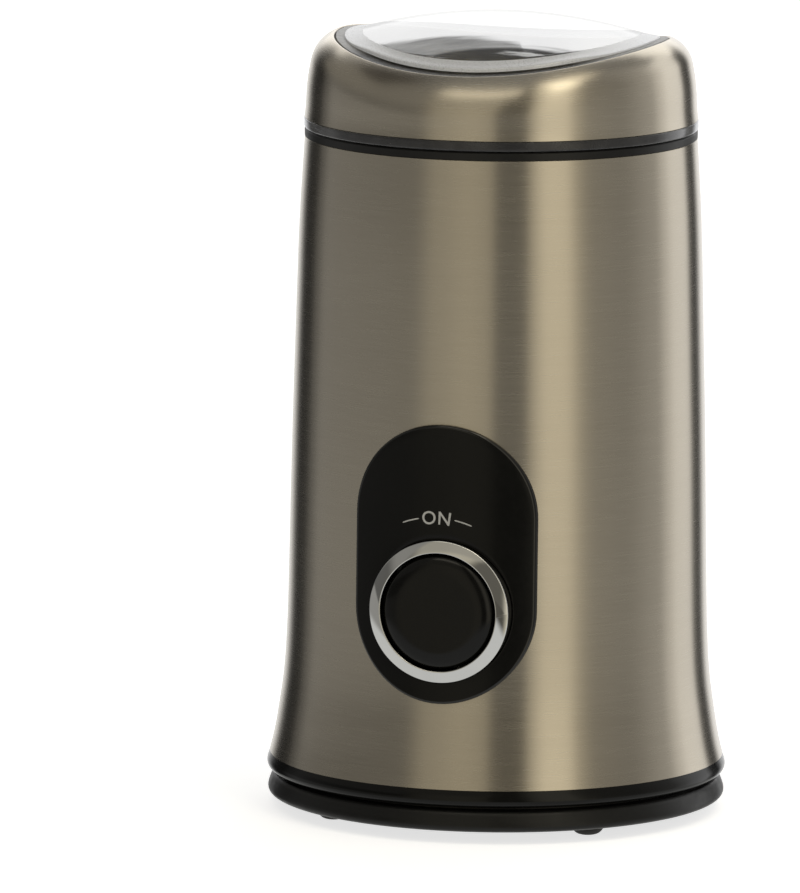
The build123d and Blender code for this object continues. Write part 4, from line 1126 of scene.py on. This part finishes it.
def make_button_spring(r=5.2, wire=0.35, y0=-37.15, length=12.7, turns=6.0):
    """Return spring between the button and the carrier, its end coils closed."""
    per, ring = 40, 12
    n = int(per * turns)
    shut = 0.7 * wire * 2
    V, F = [], []
    for i in range(n + 1):
        t = i / per                      # turns from the fixed end
        a = 2 * PI * t
        if t <= 0.8:
            h = shut * t
        elif t >= turns - 0.8:
            h = length - shut * (turns - t)
        else:
            q = (t - 0.8) / (turns - 1.6)
            h = shut * 0.8 + (length - shut * 1.6) * q
        c = np.array([r * math.cos(a), y0 - h, BTN_Z + r * math.sin(a)])
        out = np.array([math.cos(a), 0.0, math.sin(a)])
        side = np.array([0.0, 1.0, 0.0])
        for k in range(ring):
            b = 2 * PI * k / ring
            V.append(tuple(c + wire * (math.cos(b) * out + math.sin(b) * side)))
    for i in range(n):
        for k in range(ring):
            m = (k + 1) % ring
            F.append((i * ring + k, (i + 1) * ring + k, (i + 1) * ring + m, i * ring + m))
    F.append(tuple(range(ring)))
    F.append(tuple(n * ring + k for k in range(ring))[::-1])
    ob = add_object("return_spring", V, F, [MAT["spring_steel"]], None, None, 50.0)
    fix_winding(ob)
    shade(ob, 50.0)
    finish_piece(ob, "button", "spring_steel", "button_spring")
    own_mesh(ob)


make_button_spring()

# --------------------------------------------------------------------- base
bead = through([(52.3, 8.6), (53.1, 8.85), (53.7, 9.35), (54.0, 10.2), (53.85, 11.3), (53.45, 12.3), (53.30, 12.65)], 5)
prof = [(47.4, 8.6)] + bead + [(52.68, 12.66), (52.68, 13.1), (49.2, 13.1), (49.2, 17.0), (47.4, 17.0)]
v, f, nn = lathe_data(prof, 256)
ob = add_object("base_bead", v, f, [MAT["black_plastic_gloss"]], None, None, None)
gv, gf = joined([cyl_y(4.36, 40, 60, 0, 8.15)])
boolean(ob, gv, gf, "DIFFERENCE")
shade(ob, 40.0)
finish_piece(ob, "root", "black_plastic_gloss", "base_collar")

pan = through([(50.6, 3.2), (51.6, 2.8), (52.9, 3.0), (53.6, 3.6), (53.75, 4.4), (53.3, 6.0), (52.75, 7.2), (52.3, 7.7)], 5)
prof = [(0.0, 3.2)] + pan + [(50.15, 7.7), (50.0, 7.85), (50.0, 8.55), (47.6, 8.55), (47.6, 5.5), (31.2, 5.5), (31.2, 8.5), (30.0, 8.5),
                             (30.0, 5.5), (0.0, 5.5)]
v, f, nn = lathe_data(prof, 256, closed=False)
ob = add_object("base_pan", v, f, [MAT["black_plastic"]], None, None, None)
SCREWS = [(40.5 * math.cos(math.radians(a)), 40.5 * math.sin(math.radians(a))) for a in (25, 155, 205, 335)]
bv, bf_ = joined([cyl_z(4.6, 5.3, 13.1, x, y, 40) for x, y in SCREWS])
boolean(ob, bv, bf_, "UNION")
cuts = []
for i in range(16):
    a = math.radians(i * 22.5)
    o = [(27.0 + 1.1 * math.cos(t), 1.1 * math.sin(t)) for t in np.linspace(-PI / 2, PI / 2, 11)]
    o += [(12.0 + 1.1 * math.cos(t), 1.1 * math.sin(t)) for t in np.linspace(PI / 2, 3 * PI / 2, 11)]
    o = [(x * math.cos(a) - y * math.sin(a), x * math.sin(a) + y * math.cos(a)) for x, y in o]
    cuts.append(prism(o, 2.0, 7.0, "XY"))
d = 43.6 / math.sqrt(2)
FEET = [(sx * d, sy * d) for sx in (-1, 1) for sy in (-1, 1)]
cuts += [cyl_z(4.15, 2.0, 4.35, x, y, 40) for x, y in FEET]
boolean(ob, *joined(cuts), "DIFFERENCE")
boolean(ob, *joined([cyl_z(3.6, 3.0, 8.6, x, y, 40) for x, y in SCREWS]), "DIFFERENCE")
boolean(ob, *joined([cyl_z(1.8, 8.0, 20.0, x, y, 32) for x, y in SCREWS]), "DIFFERENCE")
boolean(ob, *cyl_y(4.36, 40, 60, 0, 8.15), "DIFFERENCE")
shade(ob, 40.0)
finish_piece(ob, "root", "black_plastic", "base_plate")

foot = through([(1.7, 0.0), (2.6, 0.3), (3.35, 0.95), (3.85, 1.85), (4.06, 2.8)], 4)
prof = [(0.0, 0.0)] + foot + [(4.1, 3.1), (4.1, 4.2), (4.0, 4.3), (0.0, 4.3)]
parts = []
for x, y in FEET:
    v, f, nn = lathe_data(prof, 48, "Z", (x, y), closed=False)
    parts.append((v, f))
v, f = joined(parts)
ob = add_object("foot_pads", v, f, [MAT["black_rubber"]], None, None, 40.0)
shade(ob, 40.0)
finish_piece(ob, "root", "black_rubber", "rubber_feet")

# --------------------------------------------------------------------- bowl
ZB = 112.05
under = through([(20.0, ZB), (26.0, ZB + 0.9), (30.5, ZB + 3.8), (33.2, ZB + 8.5), (34.1, ZB + 14.5)], 5)
inside = through([(33.3, ZB + 14.6), (32.45, ZB + 8.9), (29.95, ZB + 4.5), (25.75, ZB + 1.7), (20.0, ZB + 0.8)], 5)
lip = [(34.75, 162.0), (35.0, 162.1), (36.55, 162.1), (36.6, 162.05), (36.6, 161.35), (36.75, 161.3), (37.0, 161.5), (37.05, 161.8)]
lip += [(37.05, 162.45), (36.93, 162.75), (36.62, 162.96), (36.2, 163.0), (34.5, 163.0), (34.1, 162.9), (33.92, 162.6)]
prof = [(6.1, ZB)] + under + [(34.4, 144.0)] + lip + [(33.62, 144.0)] + inside + [(6.1, ZB + 0.8)]
v, f, nn = lathe_data(prof, 192)
ob = add_object("steel_bowl", v, f, [MAT["bowl_steel"]], None, nn, None)
finish_piece(ob, "root", "bowl_steel", "grinding_bowl")


# -------------------------------------------------------------------- blade
def make_blade():
    z0, t = 119.65, 1.4
    lead = through([(5.0, -5.6), (12.0, -5.2), (22.0, -4.2), (26.6, -3.1), (28.6, -1.9), (29.45, -0.5), (29.6, 0.6)], 5)
    trail = through([(5.0, 5.6), (10.0, 5.4), (20.0, 4.4), (26.0, 3.3), (28.6, 2.2), (29.4, 1.4), (29.6, 0.62)], 5)
    parts = []
    for a, tilt in ((0.0, 9.0), (180.0, -3.0)):
        n = len(lead)
        S = []
        for (xa, ya), (xb, yb) in zip(lead, trail):
            w = max(0.02, yb - ya)
            g = min(2.3, 0.45 * w)
            S.append([(xa, ya, 0.0), (xa, ya - 0.0, 0.18), (xa + (xb - xa) * g / w * 0.5, ya + g, t - 0.06),
                      (xa + (xb - xa) * g / w * 0.6, ya + g + 0.06 * w / 10, t), (xb, yb - 0.08 * min(1, w), t), (xb, yb, t - 0.1),
                      (xb, yb, 0.1), (xb, yb - 0.05 * min(1, w), 0.0)])
        V, F = [], []
        m = 8
        for s in S:
            V += s
        for i in range(n - 1):
            for k in range(m):
                F.append((i * m + k, (i + 1) * m + k, (i + 1) * m + (k + 1) % m, i * m + (k + 1) % m))
        F.append(tuple(range(m)))
        F.append(tuple((n - 1) * m + k for k in range(m - 1, -1, -1)))
        ct, st = math.cos(math.radians(-tilt)), math.sin(math.radians(-tilt))
        ca, sa = math.cos(math.radians(a)), math.sin(math.radians(a))
        W = []
        for x, y, z in V:
            x -= 5.5
            x, z = x * ct + z * st, -x * st + z * ct      # about Y
            x += 5.5
            W.append((x * ca - y * sa, x * sa + y * ca, z + z0))
        parts.append((W, F))
    ring = rounded([(2.45, z0), (6.6, z0), (6.6, z0 + t), (2.45, z0 + t)], 0.1, 3)
    v, f, nn = lathe_data(ring, 96)
    ob = add_object("chopper", v, f, [MAT["blade_steel"]], None, None, None)
    for wv, wf in parts:
        boolean(ob, wv, wf, "UNION")
    tidy(ob, 2e-6)
    shade(ob, 25.0)
    finish_piece(ob, "rotor", "blade_steel", "grinding_blade")

    zb = z0 + t + 0.05
    hexa = [(4.6 * math.cos(PI / 3 * i), 4.6 * math.sin(PI / 3 * i)) for i in range(6)]
    hexa = rounded(hexa, 0.25, 3)
    hv, hf = prism(hexa, zb, zb + 2.6, "XY")
    ob = add_object("blade_cap_nut", hv, hf, [MAT["zinc_steel"]], None, None, None)
    fix_winding(ob)
    # chamfered top corners
    cone = [(0.0, zb - 1), (6.0, zb - 1), (6.0, zb + 1.55), (3.9, zb + 2.62), (0.0, zb + 2.62)]
    cv, cf, _ = lathe_data(cone, 96, closed=False)
    boolean(ob, cv, cf, "INTERSECT")
    domep = [(0.0, zb + 2.0), (3.55, zb + 2.0), (3.55, zb + 2.45)]
    domep += [(3.55 * math.cos(q), zb + 2.45 + 3.55 * math.sin(q)) for q in np.linspace(0, PI / 2, 12)[1:-1]] + [(0.0, zb + 6.0)]
    domep = [(r, min(h, zb + 2.45 + (h - zb - 2.45) * 0.98)) for r, h in domep]
    cv, cf, _ = lathe_data(domep, 96, closed=False)
    boolean(ob, cv, cf, "UNION")
    flange = rounded([(0.0, zb), (4.9, zb), (4.9, zb + 0.55), (0.0, zb + 0.55)], [0, 0.1, 0.15, 0], 3)
    cv, cf, _ = lathe_data(flange, 96, closed=False)
    boolean(ob, cv, cf, "UNION")
    boolean(ob, *cyl_z(2.45, zb - 1, 123.8, 0, 0, 48), "DIFFERENCE")
    tidy(ob, 2e-6)
    shade(ob, 32.0)
    finish_piece(ob, "rotor", "zinc_steel", "blade_nut")


make_blade()

# gasket under the bowl's lip
prof = rounded([(35.0, 152.05), (37.55, 152.05), (37.55, 153.1), (36.3, 154.0), (35.0, 154.0)], 0.25, 4)
ob = lathe("bowl_seal", prof, [MAT["black_rubber"]], 128)
finish_piece(ob, "root", "black_rubber", "bowl_gasket")

# ----------------------------------------------- materials on the CAD nodes
for name, o in NODES.items():
    if not o.material_slots:
        o.data.materials.append(MAT["grey_plastic"])
    for s in o.material_slots:
        key = s.material.name.split(".")[0] if s.material else ""
        if key not in MAT:
            print("SCENE: no material for slot", key, "of", name)
        s.material = MAT.get(key, MAT["grey_plastic"])

# -------------------------------------------------------------------- floor
def make_floor():
    m, g = new_material("studio_floor")
    grain = g.noise(g.coords(), 300.0, 2.0, 0.5)
    col = g.mix(grain, (0.80, 0.80, 0.80), (0.83, 0.83, 0.83))
    p = principled(g, col, 0.9, 0.0, None, Specular_IOR_Level=0.0)
    p.inputs["Emission Color"].default_value = (1, 1, 1, 1)
    p.inputs["Emission Strength"].default_value = 0.72
    # seen from below it is open, so the underside of the object can be looked at
    tr = g.n("ShaderNodeBsdfTransparent")
    geo = g.n("ShaderNodeNewGeometry")
    mx = g.n("ShaderNodeMixShader")
    g.link(geo.outputs["Backfacing"], mx.inputs[0])
    g.link(p.outputs[0], mx.inputs[1])
    g.link(tr.outputs[0], mx.inputs[2])
    g.out(mx.outputs[0])
    me = bpy.data.meshes.new("studio_floor")
    s = 12.0
    me.from_pydata([(-s, -s, 0), (s, -s, 0), (s, s, 0), (-s, s, 0)], [], [(0, 1, 2, 3)])
    me.materials.append(m)
    ob = bpy.data.objects.new("studio_floor", me)
    bpy.context.scene.collection.objects.link(ob)
    ob.location = (0, 0, -0.00005)
    ob.visible_glossy = False
    ob.visible_diffuse = False
    ob.visible_transmission = False
    ob.visible_shadow = False
    return ob


make_floor()


# ------------------------------------------------------------- studio light
def make_world():
    """A white sweep for the camera.  For the object, a studio: a pale table
    below, a dim room above, and upright soft panels and dark flags around."""
    w = bpy.data.worlds.new("studio")
    bpy.context.scene.world = w
    w.use_nodes = True
    g = Graph(w.node_tree)
    d = g.coords("Generated")
    x, y, z = g.xyz(d)
    # azimuth from the camera's own side, positive to its right, in turns
    az = g.math("ARCTAN2", x, g.math("MULTIPLY", y, -1.0))
    az = g.math("SUBTRACT", az, math.radians(CAM_AZ))
    az = g.math("ADD", g.math("DIVIDE", az, 2 * PI), 0.5)
    az = g.math("FRACT", g.math("ADD", az, 1.0))
    el = g.math("ARCSINE", z)
    el = g.math("MULTIPLY", el, 180 / PI)

    def turn(deg):
        return (deg + 180.0) / 360.0

    def wr(v, warm=0.0):
        return (v * (1 + 0.03 * warm), v * (1 - 0.05 * warm), v * (1 - 0.25 * warm))

    room = [(-180, 1.13, 0), (-168, 1.02, 0), (-160, 0.64, 0), (-155, 0.34, 0), (-150, 0.09, 0), (-145, 0.03, 0), (-135, 0.02, 0),
            (-127, 0.10, 0.1), (-119, 0.19, 0.1), (-100, 0.15, 0.2), (-80, 0.12, 0.3), (-52, 0.11, 0.5), (-36, 0.42, 0.9), (-18, 0.50, 1.0),
            (-7, 0.44, 1.0), (-1, 0.12, 0.8), (13, 0.12, 0.8), (19.5, 0.68, 0.9), (25, 1.00, 0.9), (37.5, 1.00, 0.9), (45.5, 0.46, 0.9),
            (53, 0.29, 0.6), (74, 0.26, 0.4), (100, 0.46, 0.2), (109, 0.84, 0.1), (117, 1.15, 0), (133, 1.15, 0), (139, 0.08, 0),
            (149, 0.02, 0), (154, 0.50, 0), (159, 1.08, 0), (180, 1.13, 0)]
    floor = [(-180, 1.15, 0), (-168, 1.00, 0), (-160, 0.68, 0), (-155, 0.30, 0), (-150, 0.05, 0), (-145, 0.02, 0), (-135, 0.03, 0),
             (-127, 0.17, 0.1), (-119, 0.31, 0.1), (-100, 0.31, 0.2), (-80, 0.31, 0.3), (-52, 0.29, 0.5), (-36, 0.40, 0.9), (-18, 0.50, 1.0),
             (-6.5, 0.48, 1.0), (0, 0.10, 0.8), (14, 0.09, 0.8), (21, 0.62, 1.0), (27, 0.92, 1.0), (42, 0.92, 1.0), (50, 0.48, 0.9),
             (57, 0.33, 0.6), (74, 0.30, 0.4), (101, 0.42, 0.2), (109, 0.76, 0.1), (117, 1.05, 0), (133, 1.05, 0), (139, 0.12, 0),
             (149, 0.03, 0), (154, 0.46, 0), (159, 1.00, 0), (180, 1.15, 0)]
    # elevation, over 100, at which the panels and walls end and the ceiling begins
    tops = [(-180, 0.46), (-172, 0.39), (-166, 0.34), (-156, 0.36), (-150, 0.40), (-125, 0.64), (-66, 0.64), (-40, 0.68), (14, 0.68), (24, 0.68),
            (32, 0.82), (94, 0.82), (104, 0.50), (112, 0.36), (136, 0.36), (150, 0.42), (165, 0.46), (173, 0.475), (180, 0.485)]
    K = 1.5
    room_c = g.ramp(az, [(turn(a), tuple(c / K for c in wr(v, t))) for a, v, t in room], "EASE")
    floor_c = g.ramp(az, [(turn(a), tuple(c / K for c in wr(v, t))) for a, v, t in floor], "EASE")
    top_el = g.math("MULTIPLY", g.ramp(az, [(turn(a), (v, v, v)) for a, v in tops], "LINEAR"), 100.0)

    def window(v, a, b, soft):
        """1 between a and b, falling to 0 over soft on both sides."""
        return g.math("MULTIPLY", g.remap(v, a - soft / 2, a + soft / 2, 0.0, 1.0, "SMOOTHSTEP"),
                      g.remap(v, b - soft / 2, b + soft / 2, 1.0, 0.0, "SMOOTHSTEP"))

    azd = g.math("SUBTRACT", g.math("MULTIPLY", az, 360.0), 180.0)
    # a long strip light above the front wall, and the hot part of the right panel
    left = g.math("MULTIPLY", window(azd, -142.0, -48.0, 10.0), window(el, 16.0, 66.0, 8.0))
    dim = g.math("MULTIPLY", window(azd, -50.0, -2.0, 8.0), window(el, 28.0, 49.0, 6.0))
    strip = g.math("MULTIPLY", window(azd, -54.0, 8.0, 6.0), window(el, 53.0, 66.0, 3.0))
    hot = g.math("MULTIPLY", window(azd, 32.0, 56.0, 8.0), window(el, 52.0, 75.0, 12.0))
    hot2 = g.math("MULTIPLY", window(azd, 44.0, 92.0, 12.0), window(el, 62.0, 74.0, 6.0))
    behind = g.math("SUBTRACT", 1.0, window(azd, -150.0, 150.0, 16.0))
    rear = g.math("SUBTRACT", 1.0, window(azd, -162.0, 160.0, 8.0))
    room_c = g.mix(g.math("MULTIPLY", rear, window(el, 9.0, 34.0, 6.0)), room_c, tuple(c / K for c in (1.46, 1.46, 1.46)))
    room_c = g.mix(g.math("MULTIPLY", behind, window(el, 31.0, 60.0, 6.0)), room_c, tuple(c / K for c in (1.48, 1.48, 1.48)))
    room_c = g.mix(left, room_c, tuple(c / K for c in wr(0.25, 0.4)))
    room_c = g.mix(dim, room_c, tuple(c / K for c in wr(0.35, 0.8)))
    room_c = g.mix(strip, room_c, tuple(c / K for c in wr(1.80, 0.8)))
    room_c = g.mix(hot2, room_c, tuple(c / K for c in wr(1.60, 0.9)))
    room_c = g.mix(hot, room_c, tuple(c / K for c in wr(3.00, 0.9)))
    # above: panels end and the ceiling begins; below: the near table
    # (behind, the lit part ends in a broken line, as over hills)
    land = g.noise(g.scaled(d, 9.0, 9.0, 34.0), 1.0, 4.0, 0.6)
    top_el = g.math("ADD", top_el, g.math("MULTIPLY", behind, g.math("MULTIPLY", g.math("SUBTRACT", land, 0.5), 9.0)))
    up = g.remap(g.math("SUBTRACT", el, top_el), -3.0, 3.0, 0.0, 1.0, "SMOOTHSTEP")
    ceil = tuple(c / K for c in (0.20, 0.20, 0.195))
    top = tuple(c / K for c in (0.26, 0.26, 0.255))
    ceiling = g.mix(g.remap(el, 66.0, 80.0, 0.0, 1.0, "SMOOTHSTEP"), ceil, top)
    # the sweep behind fades above its lit part
    fade = g.math("MULTIPLY", behind, window(el, 34.0, 60.0, 8.0))
    far = g.mix(g.remap(land, 0.35, 0.65, 0.0, 1.0), tuple(c / K for c in (0.40, 0.40, 0.395)), tuple(c / K for c in (0.62, 0.62, 0.61)))
    near = g.mix(g.remap(land, 0.54, 0.66, 0.0, 1.0, "SMOOTHSTEP"), tuple(c / K for c in (0.09, 0.09, 0.09)), tuple(c / K for c in (0.95, 0.95, 0.93)))
    ceiling = g.mix(fade, ceiling, g.mix(g.remap(el, 47.5, 50.0, 0.0, 1.0, "SMOOTHSTEP"), far, near))
    high = g.mix(up, room_c, ceiling)
    # a soft panel high on the right, behind the object
    side = g.math("MULTIPLY", window(azd, 138.0, 172.0, 10.0), window(el, 22.0, 46.0, 6.0))
    high = g.mix(side, high, tuple(c / K for c in (1.60, 1.60, 1.58)))
    corner = g.math("MULTIPLY", window(azd, -154.0, -92.0, 10.0), window(el, 46.0, 66.0, 6.0))
    high = g.mix(corner, high, tuple(c / K for c in (0.06, 0.055, 0.05)))
    table = tuple(c / K for c in (0.60, 0.60, 0.58))
    low = g.mix(g.remap(el, -22.0, -14.0, 1.0, 0.0, "SMOOTHSTEP"), floor_c, table)
    # the edge between table and wall lies a little lower to the right
    edge_el = g.remap(azd, -100.0, 30.0, 0.0, -6.0)
    sky = g.mix(g.remap(g.math("SUBTRACT", el, edge_el), -1.2, 1.2, 0.0, 1.0, "SMOOTHSTEP"), low, high)
    bg = g.n("ShaderNodeBackground")
    g.link(sky, bg.inputs[0])
    bg.inputs[1].default_value = K
    white = g.n("ShaderNodeBackground")
    white.inputs[0].default_value = (1, 1, 1, 1)
    white.inputs[1].default_value = 1.0
    lp = g.n("ShaderNodeLightPath")
    mx = g.n("ShaderNodeMixShader")
    g.link(lp.outputs["Is Camera Ray"], mx.inputs[0])
    g.link(bg.outputs[0], mx.inputs[1])
    g.link(white.outputs[0], mx.inputs[2])
    g.out(mx.outputs[0], "ShaderNodeOutputWorld")
    w.cycles.sampling_method = "MANUAL"
    w.cycles.sample_map_resolution = 1024


make_world()

sc = bpy.context.scene
sc.view_settings.view_transform = "Standard"
sc.view_settings.look = "None"
sc.view_settings.exposure = 0.0
sc.view_settings.gamma = 1.0
sc.cycles.max_bounces = 14
sc.cycles.transparent_max_bounces = 24
sc.cycles.glossy_bounces = 6
sc.cycles.caustics_reflective = False
sc.cycles.caustics_refractive = False
sc.cycles.sample_clamp_indirect = 4.0
